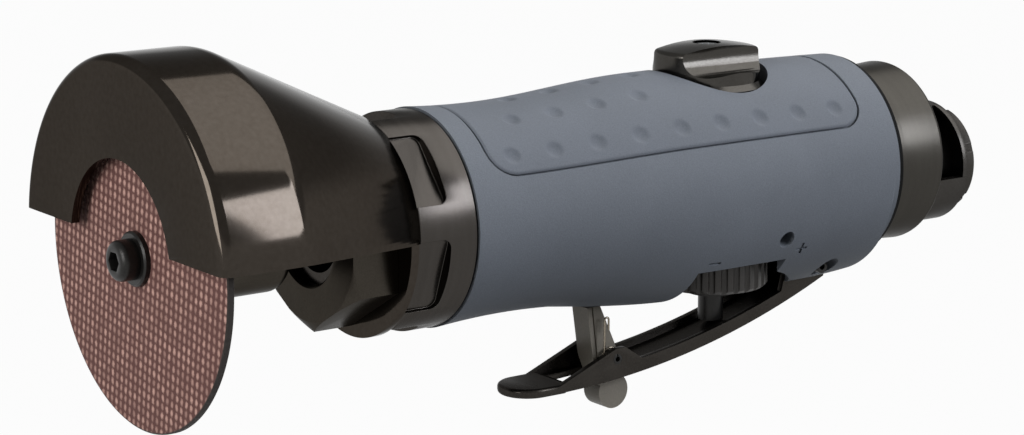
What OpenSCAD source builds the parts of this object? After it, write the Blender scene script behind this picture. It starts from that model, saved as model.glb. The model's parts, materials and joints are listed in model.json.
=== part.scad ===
// Hand held pneumatic cut off tool: a 3 inch wheel on a straight air motor.
// The tool axis is X. The wheel is at -X, the air inlet at +X, the reverse knob is up.
// Sizes along the axis are counted from the wheel seat, the rear face of the wheel.

/* [Cutting wheel] */
// Diameter of the abrasive wheel
wheel_d = 76.2; // [60:0.1:77]
// Thickness of the abrasive wheel
wheel_t = 1.6; // [1:0.1:3.2]
// Bore of the abrasive wheel
arbor_d = 9.525; // [8:0.005:10]
// Diameter of the clamping screw
screw_d = 6; // [5:0.1:6.4]
// Length of the screw thread behind the drive flange
screw_reach = 14; // [10:0.5:18]
// Diameter of the screw head
screw_head_d = 9; // [8.5:0.1:11]
// Height of the screw head
screw_head_h = 4.2; // [3.6:0.1:5.5]
// Across flats of the screw socket
screw_key = 4; // [3:0.1:4.5]
// Diameter of the outer washer
washer_d = 12; // [11:0.1:20]
// Thickness of the outer washer
washer_t = 1.5; // [1:0.1:3]
// Diameter of the drive hub behind the wheel
hub_d = 22.8; // [18:0.1:23]
// Length of the drive hub
hub_len = 31.4; // [26:0.1:35]
// Web of the drive hub in front of the spindle
hub_web = 6; // [4:0.1:9]
// Rounding of the drive hub's rear edge
hub_round = 3; // [1:0.1:4]

/* [Guard] */
// Room from the wheel's rim to the outside of the guard
guard_room = 6; // [4:0.1:9]
// Wall of the guard
guard_wall = 2; // [1.5:0.1:2.5]
// Gap from the wheel face to the guard plate
guard_gap = 2.3; // [1.5:0.1:4]
// Rounding between the guard plate and its skirt
guard_round = 2.6; // [2.4:0.1:5]
// Radius of the mouth in the guard plate
guard_mouth_r = 22; // [18:0.1:28]
// Height of the lower edge of the guard above the axis
guard_edge_z = 4.4; // [2:0.1:8]
// Height of the guard's lower edge at its rear plate
guard_rear_edge_z = 0.5; // [0:0.1:3]
// Length of the cylindrical skirt behind the wheel seat
guard_skirt = 14.6; // [8:0.1:18]

/* [Nose] */
// Distance from the wheel seat to the nose ring
nose_x = 54.1; // [52:0.1:60]
// Radius of the nose ring
nose_r = 25; // [24.5:0.1:25.2]
// Length of the nose ring
nose_len = 15.9; // [14:0.1:20]
// Radius of the spigot that carries the guard
spigot_r = 16; // [15.6:0.1:16.6]
// Length of the skirt screwed into the housing
nose_skirt = 8; // [6:0.1:10]
// Distance from the axis to the spanner flats
flat_r = 22.4; // [22:0.1:23]
// Width of one spanner flat
flat_w = 17.8; // [14:0.1:19]
// Length of one spanner flat
flat_len = 8.4; // [6:0.1:10]
// Across flats of the hexagon clamp nut
nut_af = 39.3; // [38:0.1:40.6]
// Length of the clamp nut
nut_len = 11.6; // [10:0.1:13]
// Radius of the opening in the clamp nut
nut_mouth_r = 11.7; // [10:0.1:13]
// Lip at the front of the clamp nut
nut_lip = 2.3; // [1.8:0.1:3]

/* [Body] */
// Length of the valve block behind the motor
valve_block = 61.9; // [58:0.1:70]
// Radius of the sleeve at its front edge
body_front_r = 25.3; // [25:0.1:25.6]
// Radius of the sleeve at its waist
waist_r = 24.5; // [24.3:0.1:25]
// Distance of the waist from the front edge
waist_at = 18.4; // [15:0.1:22]
// Radius of the sleeve where it swells most
swell_r = 26.9; // [26.6:0.1:27.4]
// Distance of the swell from the front edge
swell_at = 64; // [60:0.5:70]
// Radius of the sleeve at its rear edge
body_rear_r = 25.9; // [25.6:0.1:26.2]
// Drop of the belly axis below the tool axis
belly_drop = 2.5; // [2.2:0.1:2.8]
// Radius of the belly
belly_r = 26.4; // [26.2:0.1:26.8]
// Distance of the belly's start from the front edge
belly_at = 31.4; // [28:0.1:34]
// Distance from the belly's start to its full depth
belly_run = 44; // [40:0.5:46]
// Outer radius of the motor housing
core_r = 22; // [21.6:0.1:22.2]
// Depth of the housing's flat floor below the axis
core_floor = 16.7; // [16.4:0.1:17]

/* [Thumb pad] */
// Distance of the pad from the front edge
pad_at = 6.8; // [5:0.1:9]
// Length of the pad
pad_len = 108.6; // [104:0.1:110]
// Half of the angle that the pad covers
pad_angle = 61; // [55:1:66]
// Thickness of the pad
pad_t = 1.2; // [0.9:0.1:1.5]
// Corner radius of the pad
pad_corner = 7; // [5:0.5:9]
// Width of the groove round the pad
pad_groove = 0.5; // [0.3:0.1:0.8]
// Pitch of the grip dimples
dimple_pitch = 11.8; // [10:0.1:13]
// Diameter of a grip dimple
dimple_d = 4.4; // [3:0.1:5]
// Depth of a grip dimple
dimple_deep = 0.8; // [0.3:0.1:0.9]

/* [Motor] */
// Outer radius of the motor cylinder
cylinder_r = 19; // [18.6:0.1:19.2]
// Length of the motor cylinder
cylinder_len = 40; // [36:0.5:41]
// Bore radius of the motor cylinder
chamber_r = 15.4; // [15:0.1:15.6]
// Radius of the rotor
rotor_r = 13.4; // [13:0.1:13.6]
// Thickness of the front end plate
front_plate_t = 6; // [5:0.1:7]
// Thickness of the rear end plate's web
rear_web = 1.5; // [1.2:0.1:2]
// Number of vanes
vane_count = 5; // [4:1:6]
// Thickness of a vane
vane_t = 1.9; // [1.5:0.1:2.4]
// Radial height of a vane
vane_h = 6.8; // [5:0.1:7]
// Radius of the spindle
spindle_r = 6; // [5.6:0.1:6.4]
// Radius of the rotor's rear journal
journal_r = 4.5; // [4.2:0.1:4.8]
// Outer radius of the front bearing
front_bearing_r = 14; // [13.6:0.1:14.2]
// Width of the front bearing
front_bearing_w = 8; // [7:0.1:9]
// Outer radius of the rear bearing
rear_bearing_r = 12; // [11.6:0.1:12.4]
// Width of the rear bearing
rear_bearing_w = 7; // [6:0.1:7.5]
// Number of balls in a bearing
ball_count = 8; // [6:1:9]
// Diameter of the alignment dowel
dowel_d = 2.4; // [2:0.1:2.8]

/* [Reverse knob] */
// Distance of the knob axis behind the motor
knob_back = 21.7; // [20:0.1:24]
// Radius of the knob
knob_r = 12.9; // [12:0.1:13.4]
// Height of the knob's seat above the tool axis
knob_seat_z = 21.7; // [21.4:0.1:22.2]
// Height of the knob
knob_h = 10.7; // [9.4:0.1:11.4]
// Height of the knob's round base
knob_base_h = 3.8; // [3:0.1:4.4]
// Width of the grip bar
knob_bar_w = 11; // [9:0.1:13]
// Radius of the reverse valve
reverse_valve_r = 8; // [7.5:0.1:8.4]
// Height of the reverse valve's lower end above the axis
reverse_valve_z = 8.3; // [8:0.1:10]

/* [Throttle valve and regulator] */
// Distance of the throttle axis behind the motor
throttle_back = 24.1; // [22:0.1:26]
// Radius of the regulator knob
regulator_r = 13.8; // [13:0.1:14]
// Depth of the regulator's lower face below the axis
regulator_low = 27.1; // [26.6:0.1:27.6]
// Number of flutes on the regulator
flute_count = 28; // [20:1:32]
// Radius of one flute
flute_r = 0.85; // [0.6:0.05:0.9]
// Radius of the valve bushing's neck
neck_r = 6; // [5.6:0.1:6.4]
// Radius of the valve bushing's thread
bushing_r = 8; // [7.6:0.1:8.4]
// Depth of the valve seat below the axis
valve_seat_z = 9; // [8.6:0.1:9.4]
// Radius of the throttle plunger
plunger_r = 3.1; // [2.8:0.1:3.3]
// Wire diameter of the throttle spring
valve_wire = 0.9; // [0.7:0.1:1]
// Radius of the throttle spring at its wire
valve_coil_r = 4; // [3.6:0.1:4.4]
// Curls of the throttle spring
valve_curls = 4; // [3:1:4]

/* [Throttle lever] */
// Distance of the lever pivot from the rear edge of the sleeve
pivot_from_end = 14.7; // [12:0.1:16]
// Depth of the lever pivot below the axis
pivot_drop = 23.5; // [23.2:0.1:23.8]
// Outer width of the lever channel
lever_w = 14; // [13.6:0.1:14.6]
// Wall of the lever channel
lever_wall = 1.5; // [1.2:0.1:1.6]
// Height of the lever's side walls
lever_side = 3.2; // [2.8:0.1:3.6]
// Bending radius of the lever's underside
lever_bend_r = 211; // [206:1:224]
// Distance from the pivot to the lowest point of the lever
lever_low_at = 76.5; // [76:0.1:78]
// Depth of the lever's lowest point below the pivot
lever_low = 22; // [21.4:0.1:22.4]
// Distance from the pivot to the tip of the lever
lever_reach = 86.7; // [84:0.1:90]
// Squeeze of the lever in degrees
lever_squeeze = 6.2; // [4:0.1:6.4]
// Diameter of the lever's roll pin
lever_pin_d = 3.2; // [2.6:0.1:3.4]
// Length of the lever's roll pin
lever_pin_len = 29.5; // [27:0.5:31]

/* [Lock lever] */
// Distance from the lever pivot to the lock pin
lock_at = 57.1; // [56.6:0.1:57.6]
// Depth of the lock pin below the lever pivot
lock_drop = 16.3; // [16:0.1:16.5]
// Diameter of the lock pin
lock_pin_d = 2.5; // [2:0.1:2.8]
// Thickness of the lock lever
lock_t = 6; // [5:0.1:6]
// Height of the lock lever above its pin
lock_h = 12.5; // [12:0.1:12.6]
// Width of the lock lever at its top
lock_top_w = 3.9; // [3:0.1:4.2]
// Forward lean of the lock lever's front edge at its top
lock_lean = 6.2; // [6:0.1:6.6]
// Radius of the finger lobe
lobe_r = 4.3; // [3.8:0.1:4.6]
// Depth of the finger lobe below the lock pin
lobe_drop = 8.9; // [8.4:0.1:9.2]
// Fold of the lock lever in degrees
lock_fold = 85; // [80:1:86]
// Wire diameter of the lock spring
lock_wire = 0.5; // [0.4:0.05:0.5]
// Radius of the lock spring at its wire
lock_coil_r = 2.3; // [2.2:0.05:2.5]

/* [Rear end] */
// Thickness of the rear gasket
gasket_t = 1.5; // [1:0.1:2]
// Length of the exhaust cap
cap_len = 16.5; // [15:0.1:18]
// Radius of the exhaust cap at its front
cap_front_r = 22; // [21.5:0.1:22.6]
// Radius of the exhaust cap at its rear
cap_rear_r = 22.5; // [21.6:0.1:23]
// Drop of the air inlet below the tool axis
inlet_drop = 4.3; // [4:0.1:4.6]
// Radius of the exhaust deflector
deflector_r = 15.3; // [15:0.1:15.8]
// Length of the exhaust deflector's open drum
deflector_len = 13.6; // [12:0.1:15]
// Length of the deflector's collar
collar_len = 5.6; // [5:0.1:7]
// Radius of the deflector's collar
collar_r = 13.3; // [13.2:0.1:14]
// Outer radius of the inlet bushing
inlet_r = 10.5; // [10:0.1:10.8]
// Radius of the inlet's tapped bore, quarter inch pipe thread
inlet_bore_r = 5.56; // [5.3:0.01:6]
// Depth of the inlet's tapped bore
inlet_bore_len = 14; // [12:0.5:16]

/* [Fits] */
// Radial clearance of a running fit
running = 0.05; // [0.03:0.01:0.08]
// Clearance between fixed pieces
seat = 0.02; // [0.01:0.01:0.04]
// Clearance between moving pieces
clear = 0.3; // [0.25:0.05:0.35]

/* [Hidden] */
$fn = 96;

far = 200;
wheel_r = wheel_d / 2;
guard_r = wheel_r + guard_room;

// Stations along the axis
guard_x = -wheel_t - guard_gap - guard_wall;
spigot_x = nose_x - nut_len - guard_wall + nut_lip + 0.2;
nut_x = nose_x - nut_len - guard_wall - 2 * running;
body_x = nose_x + nose_len;
front_plate_x = body_x + nose_skirt;
cylinder_x = front_plate_x + front_plate_t;
rear_plate_x = cylinder_x + cylinder_len;
rear_bearing_x = rear_plate_x + rear_web;
chamber_end = rear_bearing_x + rear_bearing_w;
body_end = chamber_end + valve_block;
body_len = body_end - body_x;
front_bearing_x = nose_x + 6;
front_bearing_end = front_bearing_x + front_bearing_w;
cap_x = body_end + gasket_t;
cap_end = cap_x + cap_len;
drum_x = cap_end + clear;
drum_end = drum_x + deflector_len;
inlet_x = drum_end + collar_len;
knob_x = chamber_end + knob_back;
throttle_x = chamber_end + throttle_back;
pivot_x = body_end - pivot_from_end;
pivot_z = -pivot_drop;
lock_x = pivot_x - lock_at;
lock_z = pivot_z - lock_drop;

// Motor
eccentric = chamber_r - rotor_r - 0.1;
rotor_end_gap = 0.15;
dowel_z = -(cylinder_r + chamber_r - eccentric) / 2;

// Throttle valve
bore_top_z = 3;
plunger_head_h = 2;
plunger_head_r = bushing_r - 2.2;
plunger_seal_t = 1;
plunger_head_z = -valve_seat_z + running + plunger_seal_t;
regulator_top = -core_floor - clear;
clip_t = 1;
recess_front = 21.2;
recess_rear = 5.6;
recess_x = throttle_x - recess_front;
recess_len = recess_front + recess_rear;
recess_z = -core_floor - 1.3;
slot_tail = 9.7;
slot_end = pivot_x + slot_tail;

// Lever
lever_tail = 7.3;
lever_tongue_t = 2.3;
lever_tongue_x = pivot_x - lever_low_at + 1.8;
function lever_under(x) =
    pivot_z - lever_low + lever_bend_r
    - sqrt(pow(lever_bend_r, 2) - pow(x - pivot_x + lever_low_at, 2));
plunger_low = lever_under(throttle_x + plunger_r) + lever_wall + clear;
peak_w = 2.6;
peak_x = lock_x + 0.8;
slot_front = lock_x - 13.5;
slot_rear = lock_x + 7.4;

// Turn of a point in the XZ plane that brings +Z towards +X
function turned(p, a) =
    [p[0] * cos(a) + p[1] * sin(a), -p[0] * sin(a) + p[1] * cos(a)];
// Place of the lock lever's front top corner as the lever is squeezed, s from 0 to 1
function corner_path(s) =
    let (pin = turned([-lock_at, -lock_drop], s * lever_squeeze))
    let (tip = turned([-lock_lean, lock_h], s * (lever_squeeze + lock_fold)))
    [pivot_x + pin[0] + tip[0], pivot_z + pin[1] + tip[1]];

// Radius of the sleeve's barrel at a distance u from its front edge
function barrel_r(u) =
    u < waist_at ? waist_r + (body_front_r - waist_r) * pow(1 - u / waist_at, 2) :
    u < swell_at ? (waist_r + swell_r) / 2
        - (swell_r - waist_r) / 2 * cos(180 * (u - waist_at) / (swell_at - waist_at)) :
    swell_r - (swell_r - body_rear_r) * pow((u - swell_at) / (body_len - swell_at), 2);
// Radius of the belly at a distance u from the sleeve's front edge
belly_start_r = barrel_r(belly_at) - belly_drop - 0.1;
function belly_radius(u) =
    u < belly_at + belly_run
        ? belly_start_r + (belly_r - belly_start_r) * sin(90 * (u - belly_at) / belly_run)
        : belly_r;
// The belly thins a little towards the rear and stops short of the sleeve's end
belly_thin = 0.7;
belly_short = 2.6;
belly_ramp = 2.2;

// Shapes that repeat

// Everything is drawn from the wheel seat and moved so that the inlet mouth is the origin.
module placed() translate([-inlet_x, 0, inlet_drop]) children();

module rod(x0, x1, r, z = 0) {
    translate([x0, 0, z]) rotate([0, 90, 0]) cylinder(r = r, h = x1 - x0);
}

module tube(x0, x1, r, bore, z = 0) {
    difference() {
        rod(x0, x1, r, z);
        rod(x0 - 1, x1 + 1, bore, z);
    }
}

// Solid of revolution about the tool axis from points [x, radius]
module revolved(points, z = 0) {
    translate([0, 0, z]) rotate([0, 90, 0])
        rotate_extrude() polygon([for (p = points) [p[1], p[0]]]);
}

module upright(x, z0, z1, r) {
    translate([x, 0, z0]) cylinder(r = r, h = z1 - z0);
}

// Plate of an outline in the XZ plane, w wide about the middle plane
module side_plate(w) {
    translate([0, w / 2, 0]) rotate([90, 0, 0]) linear_extrude(w) children();
}

// Points of an arc, angles counted from +X
function arc(c, r, a0, a1, n) =
    [for (i = [0:n]) let (a = a0 + (a1 - a0) * i / n) c + r * [cos(a), sin(a)]];

module rounded_slot(l, w, r) {
    square([l - 2 * r, w], center = true);
    square([l, w - 2 * r], center = true);
    for (sx = [-1, 1], sy = [-1, 1])
        translate([sx * (l / 2 - r), sy * (w / 2 - r)]) circle(r);
}

// One race or the space of the balls of a bearing
module race(x, w, r0, r1, pitch_r, ball_r) {
    difference() {
        tube(x, x + w, r1, r0);
        translate([x + w / 2, 0, 0]) rotate([0, 90, 0])
            rotate_extrude() translate([pitch_r, 0]) circle(ball_r + running);
    }
}

module balls(x, w, pitch_r, ball_r) {
    for (i = [0:ball_count - 1])
        rotate([i * 360 / ball_count, 0, 0]) translate([x + w / 2, 0, pitch_r]) sphere(ball_r);
}

// Tube along a list of points that curl round an axis, with six sides and triangle faces
wire_sides = 6;
function wire_ring(path, i, r, coil_axis) =
    let (a = path[max(i - 1, 0)], b = path[min(i + 1, len(path) - 1)])
    let (d = (b - a) / norm(b - a))
    let (side = cross(d, coil_axis))
    let (u = side / norm(side), v = cross(d, u))
    [for (k = [0:wire_sides - 1])
        let (t = 360 * k / wire_sides) path[i] + r * (cos(t) * u + sin(t) * v)];
module wire(path, r, coil_axis) {
    n = len(path);
    polyhedron(
        [for (i = [0:n - 1]) each wire_ring(path, i, r, coil_axis)],
        concat(
            [for (i = [0:n - 2], k = [0:wire_sides - 1], half = [0, 1])
                let (p = i * wire_sides + k, q = i * wire_sides + (k + 1) % wire_sides)
                half == 0 ? [p, q + wire_sides, q] : [p, p + wire_sides, q + wire_sides]],
            [for (k = [1:wire_sides - 2]) [0, k, k + 1]],
            [for (k = [1:wire_sides - 2])
                [for (j = [0, k + 1, k]) (n - 1) * wire_sides + j]]
        )
    );
}
// Least gap of a wire to itself, between points more than a given number of steps apart
function self_gap(path, d, apart) =
    min([for (i = [0:len(path) - 1], j = [i + apart:1:len(path) - 1]) norm(path[i] - path[j])]) - d;

// Wheel and its clamping pieces

module cutting_wheel() {
    color("#6b4036") placed() tube(-wheel_t, 0, wheel_r, arbor_d / 2);
}

screw_seat_x = -wheel_t - washer_t;
head_round = 1.4;
module arbor_screw() {
    color("#26241f") placed() difference() {
        revolved(concat(
            [[hub_web + screw_reach, 0], [hub_web + screw_reach, screw_d / 2],
             [screw_seat_x, screw_d / 2], [screw_seat_x, screw_head_d / 2]],
            arc([screw_seat_x - screw_head_h + head_round, screw_head_d / 2 - head_round],
                head_round, 90, 180, 5),
            [[screw_seat_x - screw_head_h, 0]]
        ));
        translate([screw_seat_x - screw_head_h - 1, 0, 0]) rotate([0, 90, 0])
            cylinder(d = screw_key / cos(30), h = 3.6, $fn = 6);
    }
}

module outer_washer() {
    color("#2d2a26") placed() tube(screw_seat_x, -wheel_t, washer_d / 2, screw_d / 2 + seat);
}

module drive_hub() {
    hub_r = hub_d / 2;
    color("#3b3833") placed() difference() {
        union() {
            revolved(concat(
                [[0, 0], [0, hub_r - edge], [edge, hub_r]],
                arc([hub_len - hub_round, hub_r - hub_round], hub_round, 90, 0, 6),
                [[hub_len, 0]]
            ));
            rod(-wheel_t + 0.2, 1, arbor_d / 2 - seat);
        }
        rod(-wheel_t - 1, hub_web + 1, screw_d / 2 + seat);
        rod(hub_web, hub_len + 1, spindle_r + seat);
    }
}

// Guard, clamp nut and nose

// Outline of the guard's wall, offset inwards by w
guard_slope = atan((guard_r - nose_r) / (nose_x - 1 - guard_skirt));
crease_r = 8;
crease_t = crease_r * tan(guard_slope / 2);
function guard_line(w) = concat(
    arc([guard_x + guard_round, guard_r - guard_round], guard_round - w, 180, 90, 8),
    arc([guard_skirt - crease_t, guard_r - crease_r], crease_r - w, 90, 90 - guard_slope, 6),
    [[nose_x - running - w, nose_r + (1 + running + w) * tan(guard_slope) - w / cos(guard_slope)]]
);
module wheel_guard() {
    color("#3a332d") placed() {
        difference() {
            revolved(concat(
                [[guard_x, guard_mouth_r]], guard_line(0),
                [for (i = [len(guard_line(0)) - 1:-1:0]) guard_line(guard_wall)[i]],
                [[guard_x + guard_wall, guard_mouth_r]]
            ));
            side_plate(2 * far) polygon([
                [guard_x - 1, guard_edge_z], [guard_skirt, guard_edge_z],
                [nose_x - guard_wall, guard_rear_edge_z], [far, guard_rear_edge_z],
                [far, -far], [guard_x - 1, -far]
            ]);
        }
        tube(nose_x - running - guard_wall, nose_x - running, nose_r, spigot_r + running);
    }
}

module clamp_nut() {
    nut_end = nut_x + nut_len;
    corner = nut_af / sqrt(3);
    bevel = corner - nut_af / 2;
    color("#3d362f") placed() difference() {
        intersection() {
            translate([nut_x, 0, 0]) rotate([0, 90, 0])
                cylinder(r = corner, h = nut_len, $fn = 6);
            revolved([[nut_x, 0], [nut_x, nut_af / 2 + 0.2], [nut_x + bevel * 0.7, corner],
                      [nut_end, corner], [nut_end, 0]]);
        }
        rod(nut_x - 1, nut_end, nut_mouth_r);
        rod(nut_x + nut_lip, nut_end + 1, spigot_r + seat);
    }
}

edge = 0.5;
module nose_ring() {
    color("#4a443b") placed() difference() {
        revolved([
            [spigot_x, spindle_r + 3], [spigot_x, spigot_r - edge], [spigot_x + edge, spigot_r],
            [nose_x, spigot_r], [nose_x, nose_r - edge], [nose_x + edge, nose_r],
            [body_x - edge, nose_r], [body_x, nose_r - edge], [body_x, cylinder_r - seat],
            [front_plate_x, cylinder_r - seat], [front_plate_x, front_bearing_r + seat],
            [front_bearing_x, front_bearing_r + seat], [front_bearing_x, spindle_r + 3]
        ]);
        for (i = [0:5])
            rotate([50 + 60 * i, 0, 0]) translate([nose_x + flat_len / 2 - 2, 0, flat_r])
                linear_extrude(far) rounded_slot(flat_len + 4, flat_w, 2);
    }
}

// Body

profile_steps = 24;
module barrel() {
    revolved(concat(
        [[body_x, 0]],
        [for (i = [0:profile_steps])
            let (u = body_len * i / profile_steps) [body_x + u, barrel_r(u)]],
        [[body_end, 0]]
    ));
}

module belly() {
    revolved(concat(
        [[body_x + belly_at, 0]],
        [for (i = [0:12]) let (u = belly_at + belly_run * i / 12) [body_x + u, belly_radius(u)]],
        [[body_end - belly_short - 12, belly_r - belly_thin / 4],
         [body_end - belly_short, belly_r - belly_thin],
         [body_end - belly_short + belly_ramp, belly_r - belly_thin - 3.4],
         [body_end - belly_short + belly_ramp, 0]]
    ), z = -belly_drop);
}

// Outer form of the motor housing, grown by c: round, with a flat floor behind the motor
module core_form(c) {
    difference() {
        rod(body_x - 1, body_end + 1, core_r + c);
        translate([recess_x - 1, -far / 2, -core_floor - c - far])
            cube([far, far, far]);
    }
}

// Block that bounds the thumb pad, grown by c all round
module pad_block(c) {
    x0 = body_x + pad_at - c;
    l = pad_len + 2 * c;
    half = pad_angle + c / swell_r * 180 / PI;
    r = pad_corner + c;
    corner_angle = half - r / swell_r * 180 / PI;
    difference() {
        translate([x0, 0, 0]) rotate([90 - half, 0, 0]) rotate([90, 0, 90])
            rotate([0, 0, 0]) linear_extrude(l)
                polygon(concat([[0, 0]], arc([0, 0], swell_r * 2, 0, 2 * half, 12)));
        for (side = [-1, 1], e = [0, 1])
            rotate([side * corner_angle, 0, 0])
                translate([e == 0 ? x0 + r : x0 + l - r, 0, swell_r - 6])
                    mirror([e, 0, 0]) mirror([0, side > 0 ? 0 : 1, 0])
                        linear_extrude(12) difference() {
                            translate([-2 * r, -2 * r]) square(2 * r);
                            circle(r);
                        }
    }
}

// Skin of the barrel, t thick
module barrel_skin(t) {
    revolved(concat(
        [for (i = [0:profile_steps])
            let (u = body_len * i / profile_steps) [body_x + u, barrel_r(u) + 0.01]],
        [for (i = [profile_steps:-1:0])
            let (u = body_len * i / profile_steps) [body_x + u, barrel_r(u) - t]]
    ));
}

knob_flare = 1.4;
knob_pocket_r = knob_r + knob_flare + 0.5;
pin_sink_r = lever_pin_d / 2 + 1.2;
lock_pocket_w = lock_t + 2 * (2 * lock_wire + 3 * clear);
module grip_sleeve() {
    color("#666b74") placed() difference() {
        union() {
            barrel();
            belly();
        }
        core_form(seat);
        // Pocket of the thumb pad with its groove
        intersection() {
            barrel_skin(pad_t + 2 * seat);
            pad_block(pad_groove);
        }
        // Seat of the reverse knob and way for its valve
        upright(knob_x, knob_seat_z, far, knob_pocket_r);
        upright(knob_x, 0, far, reverse_valve_r + clear);
        // Cross recess that bares the regulator's rim
        translate([recess_x, -far, recess_z - far]) cube([recess_len, 2 * far, far]);
        upright(throttle_x, -far, -core_floor + 1, regulator_r + 2 * clear);
        // Slot between the lever's cheeks
        translate([throttle_x, -lever_w / 2 - clear, -far - core_floor - seat])
            cube([slot_end - throttle_x, lever_w + 2 * clear, far]);
        // Roll pin and its counterbores
        translate([pivot_x, 0, pivot_z]) rotate([90, 0, 0]) {
            cylinder(d = lever_pin_d + 2 * seat, h = far, center = true);
            for (s = [-1, 1])
                scale([1, 1, s]) translate([0, 0, lever_pin_len / 2 - 1])
                    cylinder(r = pin_sink_r, h = far);
        }
        // Room for the lock lever as it folds
        side_plate(lock_pocket_w) polygon(concat(
            [corner_path(0) + [-clear, -10], corner_path(0) + [-clear, clear]],
            [for (i = [0:10]) corner_path(i / 10) + [clear, 1.3 * clear]],
            [corner_path(1) + [2 * clear, -20]]
        ));
        // Blind cross hole beside the regulator
        for (s = [-1, 1])
            rotate([s * 118, 0, 0]) translate([throttle_x + 3.5, 0, core_r + 1]) cylinder(r = 2, h = far);
    }
}

dimple_ball_r = (pow(dimple_d / 2, 2) + pow(dimple_deep, 2)) / (2 * dimple_deep);
module dimple(u, angle) {
    rotate([angle, 0, 0]) translate([body_x + u, 0, barrel_r(u) - dimple_deep + dimple_ball_r])
        sphere(dimple_ball_r);
}
dimple_at = pad_at + 7.5;
module thumb_pad() {
    color("#777d87") placed() difference() {
        intersection() {
            barrel_skin(pad_t);
            pad_block(0);
        }
        upright(knob_x, 0, far, knob_pocket_r);
        for (s = [-1, 1], i = [0:floor((pad_len - 14) / dimple_pitch)])
            dimple(dimple_at + i * dimple_pitch, s * 50);
        for (s = [-1, 1], i = [0:3])
            dimple(dimple_at + (i + 0.5) * dimple_pitch, s * 26);
    }
}

port_r = 3;
module motor_housing() {
    color("#8b8d8f") placed() difference() {
        intersection() {
            core_form(0);
            rod(body_x + seat, body_end, core_r);
        }
        rod(body_x - 1, chamber_end, cylinder_r + seat);
        rod(chamber_end - 1, chamber_end + 1.5, journal_r + 1.5);
        // Exhaust ways from the motor to the cap
        for (s = [-1, 1])
            translate([0, s * (core_r - port_r - 2), 6]) rod(chamber_end - 1, body_end + 1, port_r);
        // Reverse knob, reverse valve, throttle valve and the way between them
        upright(knob_x, knob_seat_z, far, knob_pocket_r);
        upright(knob_x, reverse_valve_z - running, far, reverse_valve_r + running);
        upright(throttle_x, -far, bore_top_z, bushing_r + seat);
        upright(throttle_x, 0, reverse_valve_z + 1, 2.5);
        // Air inlet
        rod(inlet_thread_x, body_end + 1, inlet_r + seat, -inlet_drop);
        rod(throttle_x, body_end, inlet_bore_r - 1.2, -inlet_drop);
        // Way from the reverse valve to the motor
        translate([0, 0, (core_r + reverse_valve_z) / 2]) rod(chamber_end - 1, knob_x, 2.5);
    }
}

// Bearings and motor

front_pitch_r = (spindle_r + front_bearing_r) / 2;
front_ball_r = 2;
rear_pitch_r = (journal_r + rear_bearing_r) / 2;
rear_ball_r = 1.9;
race_gap = 1.7;

module front_bearing_outer() {
    color("#b9bbbd") placed()
        race(front_bearing_x, front_bearing_w, front_pitch_r + race_gap, front_bearing_r,
             front_pitch_r, front_ball_r);
}
module front_bearing_inner() {
    color("#b9bbbd") placed()
        race(front_bearing_x, front_bearing_w, spindle_r + seat, front_pitch_r - race_gap,
             front_pitch_r, front_ball_r);
}
module front_bearing_balls() {
    color("#d5d7d9") placed() balls(front_bearing_x, front_bearing_w, front_pitch_r, front_ball_r);
}
module rear_bearing_outer() {
    color("#b9bbbd") placed()
        race(rear_bearing_x, rear_bearing_w, rear_pitch_r + race_gap, rear_bearing_r,
             rear_pitch_r, rear_ball_r);
}
module rear_bearing_inner() {
    color("#b9bbbd") placed()
        race(rear_bearing_x, rear_bearing_w, journal_r + seat, rear_pitch_r - race_gap,
             rear_pitch_r, rear_ball_r);
}
module rear_bearing_balls() {
    color("#d5d7d9") placed() balls(rear_bearing_x, rear_bearing_w, rear_pitch_r, rear_ball_r);
}

module dowel_hole() rod(0, inlet_x, dowel_d / 2 + seat, dowel_z);

module front_end_plate() {
    color("#9a9c9e") placed() difference() {
        union() {
            rod(front_plate_x, cylinder_x, cylinder_r);
            rod(front_bearing_end, front_plate_x + 1, front_bearing_r);
        }
        rod(front_bearing_end - 1, cylinder_x + 1, spindle_r + 2);
        dowel_hole();
    }
}

module motor_cylinder() {
    port_pitch = cylinder_len / 6;
    color("#7f8183") placed() difference() {
        rod(cylinder_x, rear_plate_x, cylinder_r);
        rod(cylinder_x - 1, rear_plate_x + 1, chamber_r, eccentric);
        for (i = [1:5])
            translate([cylinder_x + i * port_pitch, 0, 0]) rotate([90, 0, 0])
                cylinder(r = 1.8, h = far, center = true);
        dowel_hole();
    }
}

module rotor() {
    color("#6d6f71") placed() difference() {
        union() {
            rod(hub_web, cylinder_x + 1, spindle_r);
            rod(cylinder_x + rotor_end_gap, rear_plate_x - rotor_end_gap, rotor_r);
            rod(rear_plate_x - 1, chamber_end, journal_r);
        }
        rod(hub_web - 1, hub_web + screw_reach + 1, screw_d / 2 + seat);
        for (i = [0:vane_count - 1])
            rotate([i * 360 / vane_count, 0, 0])
                translate([cylinder_x, -vane_t / 2 - running, rotor_r - vane_h - running])
                    cube([cylinder_len, vane_t + 2 * running, vane_h * 2]);
    }
}

module rotor_vanes() {
    color("#4d3a2a") placed() for (i = [0:vane_count - 1])
        rotate([i * 360 / vane_count, 0, 0])
            translate([cylinder_x + rotor_end_gap, -vane_t / 2, rotor_r - vane_h])
                cube([cylinder_len - 2 * rotor_end_gap, vane_t, vane_h - running]);
}

module rear_end_plate() {
    color("#9a9c9e") placed() difference() {
        rod(rear_plate_x, chamber_end, cylinder_r);
        rod(rear_plate_x - 1, chamber_end, journal_r + 0.5);
        rod(rear_bearing_x, chamber_end + 1, rear_bearing_r + seat);
        dowel_hole();
    }
}

module motor_dowel() {
    color("#a5a7a9") placed() rod(front_plate_x + 1, chamber_end - 1, dowel_d / 2, dowel_z);
}

// Reverse knob and valve

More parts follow.
